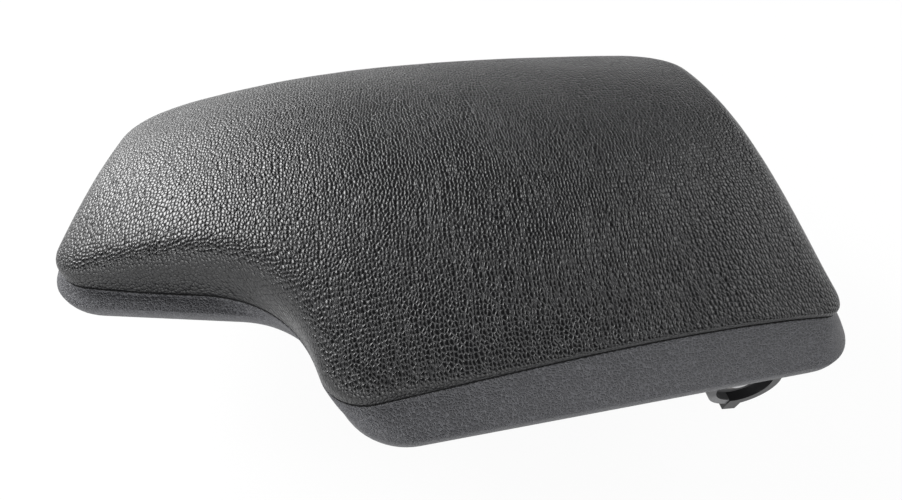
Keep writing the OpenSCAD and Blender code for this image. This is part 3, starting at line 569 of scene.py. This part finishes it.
@dataclass(frozen=True)
class PadPlan:
    """Plan of the pad: rounded six-cornered outlines that match point for point.

    The corners run counter-clockwise from the near front corner: near front, inner and outer
    corner of the notch, near rear, far rear, far front.
    """

    corners: tuple[tuple[float, float], ...] = (
        (-298.0, -25.0),
        (-199.5, -44.0),
        (-182.0, -101.0),
        (23.0, -91.0),
        (27.0, 102.0),
        (-284.0, 102.0),
    )
    seam_radii: tuple[float, ...] = (17.0, 63.0, 20.0, 10.0, 36.0, 39.0)
    wide_radii: tuple[float, ...] = (24.0, 49.0, 29.0, 24.0, 36.0, 39.0)
    lean: tuple[float, ...] = (6.5, -3.5, 12.5, 11.5, 1.5, 4.0)
    arc_steps: tuple[int, ...] = (16, 32, 14, 16, 32, 32)
    run_steps: tuple[int, ...] = (25, 5, 88, 70, 148, 70)
    grid: tuple[int, int] = (180, 94)
    least_radius: float = 1.5

    @property
    def count(self) -> int:
        """Points in one outline."""
        return sum(self.arc_steps) + sum(self.run_steps)

    @staticmethod
    def _inward(direction: np.ndarray) -> np.ndarray:
        """Left-hand normal of a direction."""
        return np.array([-direction[1], direction[0]])

    def _sides(self, corners: np.ndarray) -> np.ndarray:
        """Unit directions of the sides that follow each corner."""
        run = np.roll(corners, -1, axis=0) - corners
        return run / np.linalg.norm(run, axis=1, keepdims=True)

    def _shifted(self, corners: np.ndarray, depth: Sequence[float]) -> np.ndarray:
        """Corners with each side moved inwards.

        Args:
            corners: The corners.
            depth: How far each side moves.

        Returns:
            The new corners.
        """
        sides = self._sides(corners)
        moved = []
        for i in range(len(corners)):
            before, after = sides[i - 1], sides[i]
            p = corners[i] + self._inward(before) * depth[i - 1]
            q = corners[i] + self._inward(after) * depth[i]
            cross = before[0] * after[1] - before[1] * after[0]
            gap = q - p
            moved.append(p + before * (gap[0] * after[1] - gap[1] * after[0]) / cross)
        return np.array(moved)

    def _rounded(self, corners: np.ndarray, radii: Sequence[float]) -> np.ndarray:
        """Outline with rounded corners.

        Args:
            corners: The corners.
            radii: One radius for each.

        Returns:
            The outline's points.
        """
        sides = self._sides(corners)
        arcs = []
        for i, radius in enumerate(radii):
            u, v = sides[i - 1], sides[i]
            turn = math.atan2(u[0] * v[1] - u[1] * v[0], float(u @ v))
            bend = math.copysign(1.0, turn)
            n = self._inward(u)
            centre = corners[i] - u * radius * math.tan(abs(turn) / 2) + n * radius * bend
            angles = np.linspace(0.0, turn, self.arc_steps[i] + 1)
            c, s = np.cos(angles), np.sin(angles)
            spoke = np.stack([n[0] * c - n[1] * s, n[0] * s + n[1] * c], axis=1)
            arcs.append(centre - spoke * radius * bend)
        points = []
        for i, arc in enumerate(arcs):
            points.append(arc)
            share = (np.arange(1, self.run_steps[i]) / self.run_steps[i])[:, None]
            points.append(arc[-1] * (1 - share) + arcs[(i + 1) % len(arcs)][0] * share)
        return np.concatenate(points)

    def _inset(self, corners: np.ndarray, radii: Sequence[float], depth: float) -> np.ndarray:
        """Outline moved inwards all round.

        Args:
            corners: The corners.
            radii: Their radii.
            depth: How far it moves.

        Returns:
            The outline's points.
        """
        sides = self._sides(corners)
        fitted = []
        for i, radius in enumerate(radii):
            u, v = sides[i - 1], sides[i]
            hollow = u[0] * v[1] - u[1] * v[0] < 0
            fitted.append(radius + depth if hollow else max(radius - depth, self.least_radius))
        return self._rounded(self._shifted(corners, [depth] * len(corners)), fitted)

    def seam(self, depth: float) -> np.ndarray:
        """Outline at the seam, moved inwards by depth."""
        return self._inset(np.array(self.corners), self.seam_radii, depth)

    def wide(self, depth: float) -> np.ndarray:
        """Outline at the band's widest line, moved inwards by depth."""
        base = self._shifted(np.array(self.corners), [-x for x in self.lean])
        return self._inset(base, self.wide_radii, depth)

    def inside(self, ring: np.ndarray) -> np.ndarray:
        """Grid of plan points inside a ring.

        Args:
            ring: The outline.

        Returns:
            Points by row across and column along, the ring's own points on its edges.
        """
        n, (columns, rows), start = self.count, self.grid, self.arc_steps[0] // 2
        near = ring[(start + np.arange(columns + 1)) % n]
        rear = ring[(start + columns + np.arange(rows + 1)) % n]
        far = ring[(start + 2 * columns + rows - np.arange(columns + 1)) % n]
        front = ring[(start + 2 * columns + 2 * rows - np.arange(rows + 1)) % n]
        u = (np.arange(columns + 1) / columns)[None, :, None]
        v = (np.arange(rows + 1) / rows)[:, None, None]
        across = near[None] * (1 - v) + far[None] * v
        along = front[:, None] * (1 - u) + rear[:, None] * u
        low = near[0] * (1 - u) + near[-1] * u
        high = far[0] * (1 - u) + far[-1] * u
        corners = low * (1 - v) + high * v
        return across + along - corners

    def indices(self, ring_at: int, inner_at: int) -> np.ndarray:
        """Vertex numbers of the grid whose edges are a ring's points.

        Args:
            ring_at: Number of the ring's first vertex.
            inner_at: Number of the first inner vertex.

        Returns:
            Numbers by row and column.
        """
        n, (columns, rows), start = self.count, self.grid, self.arc_steps[0] // 2
        made = np.zeros((rows + 1, columns + 1), int)
        made[0] = ring_at + (start + np.arange(columns + 1)) % n
        made[:, columns] = ring_at + (start + columns + np.arange(rows + 1)) % n
        made[rows] = ring_at + (start + 2 * columns + rows - np.arange(columns + 1)) % n
        made[:, 0] = ring_at + (start + 2 * columns + 2 * rows - np.arange(rows + 1)) % n
        inner = np.arange((rows - 1) * (columns - 1)).reshape(rows - 1, columns - 1)
        made[1:rows, 1:columns] = inner_at + inner
        return made


# Fewer points for the foam, which lies hidden; more for the stitches, which are short
COARSE_PLAN = PadPlan(
    arc_steps=(6, 10, 6, 6, 12, 12), run_steps=(10, 4, 34, 14, 58, 14), grid=(70, 23)
)

STITCH_PLAN = PadPlan(arc_steps=(48, 96, 42, 48, 96, 96), run_steps=(180, 15, 400, 340, 600, 280))


@dataclass(frozen=True)
class PadHeights:
    """Heights of the pad along the lid, in millimetres."""

    stations: tuple[float, ...] = (-298.0, -187.5, -77.0, 27.0)
    seam: tuple[float, ...] = (19.5, 19.5, 31.5, 27.0)
    crown: tuple[float, ...] = (28.0, 54.0, 59.0, 55.5)
    crown_fall: float = 17.5
    crown_half_width: float = 90.0
    crown_middle: float = 12.0
    edge_rise: float = 4.5
    edge_soft: float = 3.0
    roof_rise: float = 1.0

    def _along(self, x: np.ndarray, heights: Sequence[float]) -> np.ndarray:
        """Cubic through the heights at the four stations."""
        total = np.zeros_like(x)
        for i, height in enumerate(heights):
            weight = np.ones_like(x)
            for j, station in enumerate(self.stations):
                if j != i:
                    weight = weight * (x - station) / (self.stations[i] - station)
            total = total + weight * height
        return total

    def seam_at(self, x: np.ndarray) -> np.ndarray:
        """Height of the seam."""
        return self._along(x, self.seam)

    def crown_at(self, x: np.ndarray, y: np.ndarray) -> np.ndarray:
        """Height of the crowned top."""
        aside = (y - self.crown_middle) / self.crown_half_width
        free = self._along(x, self.crown) - self.crown_fall * aside**2
        least = self.seam_at(x) + self.edge_rise
        return (free + least + np.sqrt((free - least) ** 2 + self.edge_soft**2)) / 2

    def roof_at(self, x: np.ndarray) -> np.ndarray:
        """Height of the carrier's roof."""
        return self.seam_at(x) + self.roof_rise


class Dresser:
    """Turns arrays into pieces of the scene."""

    @staticmethod
    def mesh(
        name: str,
        points: np.ndarray,
        faces: np.ndarray,
        material: bpy.types.Material,
        hide: np.ndarray | None = None,
    ) -> bpy.types.Object:
        """Make a smooth mesh object from points in the lid's frame.

        Args:
            name: The piece's name.
            points: Points in millimetres.
            faces: Quads by vertex number.
            material: Its finish.
            hide: Where each point lay on the flat hide, in millimetres.

        Returns:
            The object.
        """
        data = bpy.data.meshes.new(name)
        data.from_pydata(((points + LID_ORIGIN) * MM).tolist(), [], faces.tolist())
        if hide is not None:
            flat = np.column_stack([hide, np.zeros(len(hide))]) * MM
            places = data.attributes.new(HIDE, "FLOAT_VECTOR", "POINT")
            places.data.foreach_set("vector", flat.ravel())
        data.materials.append(material)
        for polygon in data.polygons:
            polygon.use_smooth = True
        piece = bpy.data.objects.new(name, data)
        bpy.context.scene.collection.objects.link(piece)
        return piece

    @staticmethod
    def hold(piece: bpy.types.Object, body: str, slot: str, *nodes: str) -> bpy.types.Object:
        """Let a piece ride on a body in place of CAD nodes.

        Args:
            piece: The piece.
            body: The body's name.
            slot: Not used.
            nodes: The nodes it stands for.

        Returns:
            The piece.
        """
        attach(piece, body)
        if nodes:
            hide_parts(*nodes)
        return piece


@dataclass
class PadBuilder:
    """Makes the soft pieces of the lid from their plan and heights."""

    plan: PadPlan = field(default_factory=PadPlan)
    heights: PadHeights = field(default_factory=PadHeights)
    tuck_height: float = 13.0
    tuck_in: float = 10.0
    roll_in: float = 15.0
    bead_height: float = 3.0
    fold_height: float = 1.0
    carrier_in: float = 14.0
    shoulder: float = 0.66
    shoulder_from: float = -70.0
    shoulder_to: float = -200.0

    def ring(self, plan: np.ndarray, height: np.ndarray | float) -> np.ndarray:
        """A ring of points from a plan outline and heights."""
        z = np.broadcast_to(height, (len(plan),))
        return np.column_stack([plan, z])

    def _shoulder_power(self) -> np.ndarray:
        """How full the roll-over is at each point: 1 at the rear, less and fuller at the front."""
        line = self.plan.seam(0)[:, 0]
        share = (line - self.shoulder_from) / (self.shoulder_to - self.shoulder_from)
        share = np.clip(share, 0.0, 1.0)
        return 1.0 + (self.shoulder - 1.0) * share * share * (3.0 - 2.0 * share)

    def roll(self, depth: float, angle: float) -> np.ndarray:
        """Ring of the roll-over between crown and seam.

        Args:
            depth: Depth below the visible surface.
            angle: 90 degrees at the crown, 0 at the seam.

        Returns:
            The ring.
        """
        c, s = math.cos(math.radians(angle)), math.sin(math.radians(angle))
        power = self._shoulder_power()
        full_c, full_s = max(c, 1e-6) ** power, max(s, 1e-6) ** power
        slim, wide = self.plan.seam(depth * c), self.plan.seam(self.roll_in + depth * c)
        plan = slim + (wide - slim) * (1 - full_c)[:, None]
        foot = self.heights.seam_at(plan[:, 0]) + self.bead_height
        top = self.heights.crown_at(plan[:, 0], plan[:, 1])
        return self.ring(plan, foot + (top - foot) * full_s - depth * s)

    def at_seam(self, depth: float, rise: float) -> np.ndarray:
        """Ring beside the seam line."""
        plan = self.plan.seam(depth)
        return self.ring(plan, self.heights.seam_at(plan[:, 0]) + rise)

    def wall(self, depth: float, share: float, bulge: float = 0.0) -> np.ndarray:
        """Ring of the side band, from the seam at share 0 to its widest line at 1.

        Args:
            depth: Depth below the visible surface.
            share: Where on the band.
            bulge: How far it swells out.

        Returns:
            The ring.
        """
        upper, lower = self.plan.seam(depth - bulge), self.plan.wide(depth - bulge)
        start = self.heights.seam_at(upper[:, 0]) - self.fold_height
        z = start * (1 - share) + self.tuck_height * share
        return self.ring(upper * (1 - share) + lower * share, z)

    def tuck(self, depth: float, angle: float) -> np.ndarray:
        """Ring of the lower edge that turns in under the widest line."""
        c, s = math.cos(math.radians(angle)), math.sin(math.radians(angle))
        plan = self.plan.wide(self.tuck_in * (1 - c) + depth * c)
        return self.ring(plan, self.tuck_height * (1 - s) + depth * s)

    def flat(self, depth: float, height: float) -> np.ndarray:
        """Flat ring at a height."""
        return self.ring(self.plan.seam(depth), height)

    @staticmethod
    def _bands(rings: int, count: int, closed: bool) -> np.ndarray:
        """Quads between rings that follow one another."""
        faces = []
        steps = rings if closed else rings - 1
        i = np.arange(count)
        k = (i + 1) % count
        for j in range(steps):
            a, b = j * count, ((j + 1) % rings) * count
            faces.append(np.column_stack([a + i, a + k, b + k, b + i]))
        return np.concatenate(faces)

    def cap(
        self,
        rings: list[np.ndarray],
        top: Callable[[np.ndarray, np.ndarray], np.ndarray],
        under: Callable[[np.ndarray, np.ndarray], np.ndarray],
    ) -> tuple[np.ndarray, np.ndarray]:
        """Closed body between a crown and an underside.

        Args:
            rings: Rings down the outside and up the inside.
            top: Height of the crown.
            under: Height of the underside.

        Returns:
            Points and quads.
        """
        n = self.plan.count
        points, faces = list(rings), [self._bands(len(rings), n, False)]
        at = len(rings) * n
        for ring_number, height, up in ((0, top, True), (len(rings) - 1, under, False)):
            inner = self.plan.inside(rings[ring_number][:, :2])[1:-1, 1:-1].reshape(-1, 2)
            index = self.plan.indices(ring_number * n, at)
            a, b, c, d = index[:-1, :-1], index[:-1, 1:], index[1:, 1:], index[1:, :-1]
            order = (a, b, c, d) if up else (a, d, c, b)
            faces.append(np.stack(order, axis=-1).reshape(-1, 4))
            points.append(np.column_stack([inner, height(inner[:, 0], inner[:, 1])]))
            at += len(inner)
        return np.concatenate(points), np.concatenate([faces[0][:, ::-1], faces[1], faces[2]])

    def unrolled(self, rings: list[np.ndarray]) -> np.ndarray:
        """Where a cap's points lay on the flat hide.

        Args:
            rings: The cap's rings, the crown's edge first.

        Returns:
            Flat places in millimetres, in the order of the cap's points.
        """
        crown = rings[0][:, :2]
        out = self.plan.seam(0) - crown
        out = out / np.linalg.norm(out, axis=1, keepdims=True)
        walked = np.zeros(len(crown))
        places = [crown]
        for before, after in zip(rings, rings[1:]):
            walked = walked + np.linalg.norm(after - before, axis=1)
            places.append(crown + out * walked[:, None])
        for ring in (rings[0], rings[-1]):
            places.append(self.plan.inside(ring[:, :2])[1:-1, 1:-1].reshape(-1, 2))
        return np.concatenate(places)

    def girdle(self, rings: list[np.ndarray]) -> tuple[np.ndarray, np.ndarray]:
        """Closed tube of rings round the whole outline."""
        return np.concatenate(rings), self._bands(len(rings), self.plan.count, True)[:, ::-1]


@dataclass
class LeatherCovers:
    """The leather top and the leather side band, joined by a folded seam."""

    thickness: float = 1.2
    seam_depth: float = 1.3
    lip_in: float = 15.8
    bulge: float = 0.35
    ripples: tuple[tuple[float, float, float], ...] = ((0.16, 34.0, 3.1), (0.064, 11.0, 8.2))
    top_fold: tuple[tuple[float, float], ...] = (
        (-0.12, 2.2),
        (-0.05, 1.5),
        (0.25, 0.85),
        (0.7, 0.4),
    )
    band_fold: tuple[tuple[float, float], ...] = ((0.7, -0.3), (0.22, -0.65))
    fold_gap: float = 0.15
    builder: PadBuilder = field(default_factory=PadBuilder)

    def _top(self) -> tuple[np.ndarray, np.ndarray, np.ndarray]:
        """Points, quads and flat places of the top."""
        b, t, deep = self.builder, self.thickness, self.seam_depth
        rings = [b.roll(0, a) for a in np.linspace(90, 0, 22)]
        rings += [b.at_seam(*place) for place in self.top_fold]
        rings += [b.at_seam(deep, self.fold_gap), b.at_seam(deep + t, self.fold_gap)]
        rings += [b.roll(t, a) for a in np.linspace(0, 90, 8)]
        crown = b.heights.crown_at
        points, faces = b.cap(rings, crown, lambda x, y: crown(x, y) - t)
        return points, faces, b.unrolled(rings)

    def _band(self) -> tuple[np.ndarray, np.ndarray]:
        """Points and quads of the side band."""
        b, t, deep = self.builder, self.thickness, self.seam_depth
        rings = [b.at_seam(deep, -self.fold_gap)]
        rings += [b.at_seam(*place) for place in self.band_fold]
        rings += [b.wall(0, s, self.bulge * math.sin(math.pi * s)) for s in np.linspace(0, 1, 16)]
        rings += [b.tuck(0, a) for a in np.linspace(12, 90, 9)]
        rings += [b.flat(self.lip_in, 0), b.flat(self.lip_in, t)]
        rings += [b.tuck(t, a) for a in (90, 60, 30)]
        rings += [b.wall(t, 1), b.wall(t, 0.5), b.at_seam(deep + t, -self.fold_gap)]
        return b.girdle(rings)

    @staticmethod
    def _waves(points: np.ndarray, reach: float, length: float, seed: float) -> np.ndarray:
        """Soft unevenness of a hand-wrapped cover.

        Args:
            points: Points in millimetres.
            reach: Its height.
            length: Its wavelength.
            seed: Which pattern.

        Returns:
            Heights for each point.
        """
        places = points / length + np.array([seed, 0.0, 0.0])
        return reach * np.array([noise.noise(Vector(place)) for place in places])

    def build(
        self, top_finish: bpy.types.Material, band_finish: bpy.types.Material
    ) -> list[bpy.types.Object]:
        """Build both covers.

        Args:
            top_finish: The top's leather.
            band_finish: The band's leather.

        Returns:
            The two pieces.
        """
        points, faces, hide = self._top()
        points[:, 2] += sum(self._waves(points, *ripple) for ripple in self.ripples)
        top = Dresser.mesh("leather_top_cover", points, faces, top_finish, hide)
        Dresser.hold(top, "lid", "top_leather", "leather_top")
        points, faces = self._band()
        band = Dresser.mesh("leather_side_band", points, faces, band_finish)
        Dresser.hold(band, "lid", "band_leather", "leather_band")
        return [top, band]


@dataclass
class SeamThread:
    """The stitches that lie sunk in the fold between the two covers."""

    radius: float = 0.42
    depth: float = 0.55
    sides: int = 6
    stitch: float = 2.8
    swell: float = 0.22
    builder: PadBuilder = field(default_factory=lambda: PadBuilder(plan=STITCH_PLAN))

    def build(self, finish: bpy.types.Material) -> bpy.types.Object:
        """Build the line of stitches.

        Args:
            finish: Its material.

        Returns:
            The piece.
        """
        b = self.builder
        centre = b.at_seam(self.depth, 0.0)
        steps = np.linalg.norm(np.roll(centre, -1, axis=0) - centre, axis=1)
        walked = np.concatenate([[0.0], np.cumsum(steps)[:-1]])
        stitches = round(float(steps.sum()) / self.stitch)
        thick = 1.0 + self.swell * np.sin(2 * math.pi * stitches * walked / steps.sum())
        rings = []
        for turn in np.arange(self.sides) * 2 * math.pi / self.sides:
            inward, up = -self.radius * math.sin(turn), self.radius * math.cos(turn)
            ring = b.at_seam(self.depth + inward, up)
            rings.append(centre + (ring - centre) * thick[:, None])
        points, faces = b.girdle(rings)
        piece = Dresser.mesh("seam_stitches", points, faces, finish)
        return Dresser.hold(piece, "lid", "top_leather")


@dataclass
class FoamPad:
    """The moulded foam under the leather."""

    skin: float = 1.5
    gap: float = 0.3
    builder: PadBuilder = field(default_factory=lambda: PadBuilder(plan=COARSE_PLAN))

    def build(self, finish: bpy.types.Material) -> bpy.types.Object:
        """Build the foam.

        Args:
            finish: Its material.

        Returns:
            The piece.
        """
        b, t = self.builder, self.skin + 0.1
        inner = b.carrier_in - self.gap
        rings = [b.roll(t, a) for a in np.linspace(90, 0, 10)]
        rings += [b.at_seam(2.9, 0), b.wall(t, 0.5), b.wall(t, 1)]
        rings += [b.tuck(t, a) for a in (30, 60, 90)]
        rings += [b.flat(inner, t)]
        roof = b.plan.seam(inner)
        rings += [b.ring(roof, b.heights.roof_at(roof[:, 0]) + self.gap)]
        points, faces = b.cap(
            rings,
            lambda x, y: b.heights.crown_at(x, y) - t,
            lambda x, y: b.heights.roof_at(x) + self.gap,
        )
        piece = Dresser.mesh("foam_core", points, faces, finish)
        Dresser.hold(piece, "lid", "foam", "foam_pad")
        return piece


@dataclass
class HardParts:
    """The CAD's own hard pieces and the finish that each one gets."""

    frame: dict[str, Any]

    def finishes(self) -> dict[str, Any]:
        """Finish of each node."""
        liner = MouldedPlastic("liner_grain", (0.018, 0.0185, 0.021), 1200.0, 0.00008, 0.5)
        shell = MouldedPlastic("carrier_grain", (0.022, 0.022, 0.024), 800.0, 0.00007, 0.45)
        black = MouldedPlastic("black_grain", (0.008, 0.008, 0.009), 1800.0, 0.00004, 0.38)
        rubber = MouldedPlastic("rubber_grain", (0.012, 0.012, 0.0125), 900.0, 0.00005, 0.75)
        lining = MouldedPlastic("lining_grain", (0.16, 0.11, 0.055), 1400.0, 0.00012, 0.8)
        alloy = Metal("cast_alloy", (0.2, 0.2, 0.205), Tooling.CAST, 0.48, 0.75)
        bracket = Metal("coated_sheet", (0.022, 0.0225, 0.025), Tooling.SHEET, 0.36, 0.0)
        bright = Metal("turned_steel", (0.56, 0.56, 0.57), Tooling.TURNED, 0.28)
        screw = Metal("screw_steel", (0.36, 0.36, 0.37), Tooling.TURNED, 0.36)
        spring = Metal("spring_steel", (0.3, 0.29, 0.28), Tooling.TURNED, 0.33)
        bronze = Metal("sintered_bronze", (0.48, 0.3, 0.12), Tooling.CAST, 0.42)
        return {
            "carrier": shell,
            "liner": liner,
            "release_button": liner,
            "latch_housing": black,
            "barrel_guard": black,
            "buffers": rubber,
            "stop_pad": rubber,
            "friction_discs": lining,
            "hinge_frame": alloy,
            "hinge_bracket": bracket,
            "hinge_pin": bright,
            "latch_pin": bright,
            "latch_hook": bright,
            "liner_screws": screw,
            "hinge_screws": screw,
            "latch_screws": screw,
            "pin_clip": spring,
            "spring_washers": spring,
            "bracket_bushes": bronze,
        }

    def dress(self) -> None:
        """Give every hard node its material."""
        made: dict[str, bpy.types.Material] = {}
        for name, finish in self.finishes().items():
            if finish.name not in made:
                made[finish.name] = finish.material()
            data = self.frame["nodes"][name].data
            data.materials.clear()
            data.materials.append(made[finish.name])
            LOG.info("dressed %s with %s", name, finish.name)


@dataclass(frozen=True)
class ButtonSpring:
    """The coil over the release button, which on the real lid shortens as the button is pressed;
    here it is copied at rest and does not move.
    """

    travel: float = 0.004
    joint: str = "button_slide"
    finish: Metal = Metal("coiled_wire", (0.3, 0.29, 0.28), Tooling.TURNED, 0.33)

    def build(self, frame: dict[str, Any]) -> bpy.types.Object:
        """Build the coil.

        Args:
            frame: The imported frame.

        Returns:
            The piece.
        """
        data = frame["nodes"]["button_spring"].data.copy()
        data.materials.clear()
        data.materials.append(self.finish.material())
        coil = bpy.data.objects.new("button_coil", data)
        bpy.context.scene.collection.objects.link(coil)
        Dresser.hold(coil, "lid", "spring_steel", "button_spring")
        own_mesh(coil)
        return coil


# --------------------------------------------------------------------------- studio


@dataclass(frozen=True)
class View:
    """The camera, as fitted to the picture's viewpoint."""

    azimuth: float = -11.297
    elevation: float = 47.666
    roll: float = 2.94
    distance: float = 0.281555
    target: tuple[float, float, float] = (-0.114044, -0.012923, 0.068557)
    focal_px: float = 572.432
    frame_px: int = 902
    sensor: float = 36.0

    def place(self) -> bpy.types.Object:
        """Make the camera.

        Returns:
            The camera object.
        """
        a, e, r = (math.radians(v) for v in (self.azimuth, self.elevation, self.roll))
        back = Vector((math.sin(a) * math.cos(e), -math.cos(a) * math.cos(e), math.sin(e)))
        right = (-back).cross(Vector((0, 0, 1))).normalized()
        up = right.cross(-back)
        across = right * math.cos(r) + up * math.sin(r)
        rise = up * math.cos(r) - right * math.sin(r)
        data = bpy.data.cameras.new("camera")
        data.sensor_width = self.sensor
        data.lens = self.focal_px * self.sensor / self.frame_px
        data.clip_start, data.clip_end = 0.005, 50.0
        camera = bpy.data.objects.new("camera", data)
        turn = Matrix((across, rise, back)).transposed().to_4x4()
        camera.matrix_world = Matrix.Translation(Vector(self.target) + back * self.distance) @ turn
        bpy.context.scene.collection.objects.link(camera)
        bpy.context.scene.camera = camera
        return camera


@dataclass(frozen=True)
class Softbox:
    """A rectangular studio lamp that looks at the object."""

    name: str
    direction: tuple[float, float, float]
    distance: float
    size: tuple[float, float]
    radiance: float
    turn: float = 0.0
    aim: tuple[float, float, float] = (-0.12, 0.0, 0.1)

    def place(self) -> bpy.types.Object:
        """Make the lamp.

        Returns:
            The lamp object.
        """
        data = bpy.data.lights.new(self.name, "AREA")
        data.shape = "RECTANGLE"
        data.size, data.size_y = self.size
        data.energy = self.radiance * math.pi * self.size[0] * self.size[1]
        lamp = bpy.data.objects.new(self.name, data)
        way = Vector(self.direction).normalized()
        lamp.location = Vector(self.aim) + way * self.distance
        facing = way.to_track_quat("Z", "Y") @ Quaternion((0, 0, 1), math.radians(self.turn))
        lamp.rotation_euler = facing.to_euler()
        bpy.context.scene.collection.objects.link(lamp)
        return lamp


@dataclass
class Studio:
    """Floor, surroundings and lamps."""

    floor_size: float = 60.0
    floor_colour: tuple[float, float, float] = (0.94, 0.94, 0.94)
    floor_lift: float = 0.94
    ambient: float = 0.42
    horizon: float = 0.26
    ceiling: float = 0.012
    lamps: tuple[Softbox, ...] = (
        Softbox("key_lamp", (-0.67, 0.564, 0.485), 1.15, (1.0, 0.5), 12.0, 50.0),
        Softbox("side_lamp", (0.9, 0.16, 0.42), 1.1, (0.8, 0.5), 2.8),
        Softbox("low_lamp", (-0.545, -0.8, 0.25), 1.2, (1.9, 0.36), 4.8),
    )

    @staticmethod
    def _either(paint: Paint, share: Signal, first: bpy.types.Node, second: bpy.types.Node) -> Any:
        """Mix two shaders by the second's share."""
        sockets: dict[int | str, Any] = {0: share, 1: first.outputs[0], 2: second.outputs[0]}
        return paint.node("ShaderNodeMixShader", None, sockets).outputs[0]

    @staticmethod
    def _shown(paint: Paint) -> Signal:
        """1 for camera, glossy and transmission rays."""
        path = paint.node("ShaderNodeLightPath").outputs
        names = ("Is Camera Ray", "Is Glossy Ray", "Is Transmission Ray")
        rays = [Signal(paint, path[name]) for name in names]
        return rays[0].higher(rays[1]).higher(rays[2])

    def _floor(self) -> bpy.types.Object:
        """Make the floor."""
        half = self.floor_size / 2
        data = bpy.data.meshes.new("studio_floor")
        corners = [(-half, -half, 0), (half, -half, 0), (half, half, 0), (-half, half, 0)]
        data.from_pydata(corners, [], [(0, 1, 2, 3)])
        floor = bpy.data.objects.new("studio_floor", data)
        bpy.context.scene.collection.objects.link(floor)
        floor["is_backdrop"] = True
        paint = Paint("studio_floor")
        lift = self._shown(paint) * self.floor_lift
        matt = paint.node("ShaderNodeBsdfDiffuse", None, {"Color": (*self.floor_colour, 1.0)})
        glow = paint.node("ShaderNodeEmission", None, {"Color": (1, 1, 1, 1), "Strength": 1.0})
        mixed = self._either(paint, lift, matt, glow)
        paint.node("ShaderNodeOutputMaterial", None, {"Surface": mixed})
        data.materials.append(paint.material)
        return floor

    def _world(self) -> None:
        """Pale horizon, darker ceiling, even ambient light."""
        world = bpy.data.worlds.new("studio")
        bpy.context.scene.world = world
        paint = Paint("studio", world)
        way = paint.node("ShaderNodeTexCoord").outputs["Generated"]
        parts = paint.node("ShaderNodeSeparateXYZ", None, {0: way})
        height = Signal(paint, parts.outputs["Z"])
        camera = Signal(paint, paint.node("ShaderNodeLightPath").outputs["Is Camera Ray"])
        level = height.ramp(0.0, self.horizon, 1.0, self.ceiling).higher(camera)
        dim, seen = (
            paint.node("ShaderNodeBackground", None, {"Color": (1, 1, 1, 1), "Strength": strength})
            for strength in (self.ambient, level)
        )
        mixed = self._either(paint, self._shown(paint), dim, seen)
        paint.node("ShaderNodeOutputWorld", None, {"Surface": mixed})

    def build(self) -> None:
        """Make the whole studio."""
        self._floor()
        self._world()
        for lamp in self.lamps:
            lamp.place()


# --------------------------------------------------------------------------- scene


def clear_scene() -> None:
    """Remove what Blender starts with."""
    for item in list(bpy.data.objects):
        bpy.data.objects.remove(item)


def main() -> Sequence[Vector]:
    """Build the scene.
    """
    logging.basicConfig(level=logging.INFO, format="%(name)s: %(message)s")
    clear_scene()
    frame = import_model()
    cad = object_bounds()
    bpy.context.scene.view_settings.view_transform = "Standard"
    View().place()
    Studio().build()
    for piece in LeatherCovers().build(TopLeather().material(), BandLeather().material()):
        LOG.info("built %s", piece.name)
    LOG.info("built %s", SeamThread().build(Thread().material()).name)
    LOG.info("built %s", FoamPad().build(Foam().material()).name)
    HardParts(frame).dress()
    LOG.info("built %s", ButtonSpring().build(frame).name)
    return cad


if __name__ == "__main__":
    cad_box = main()
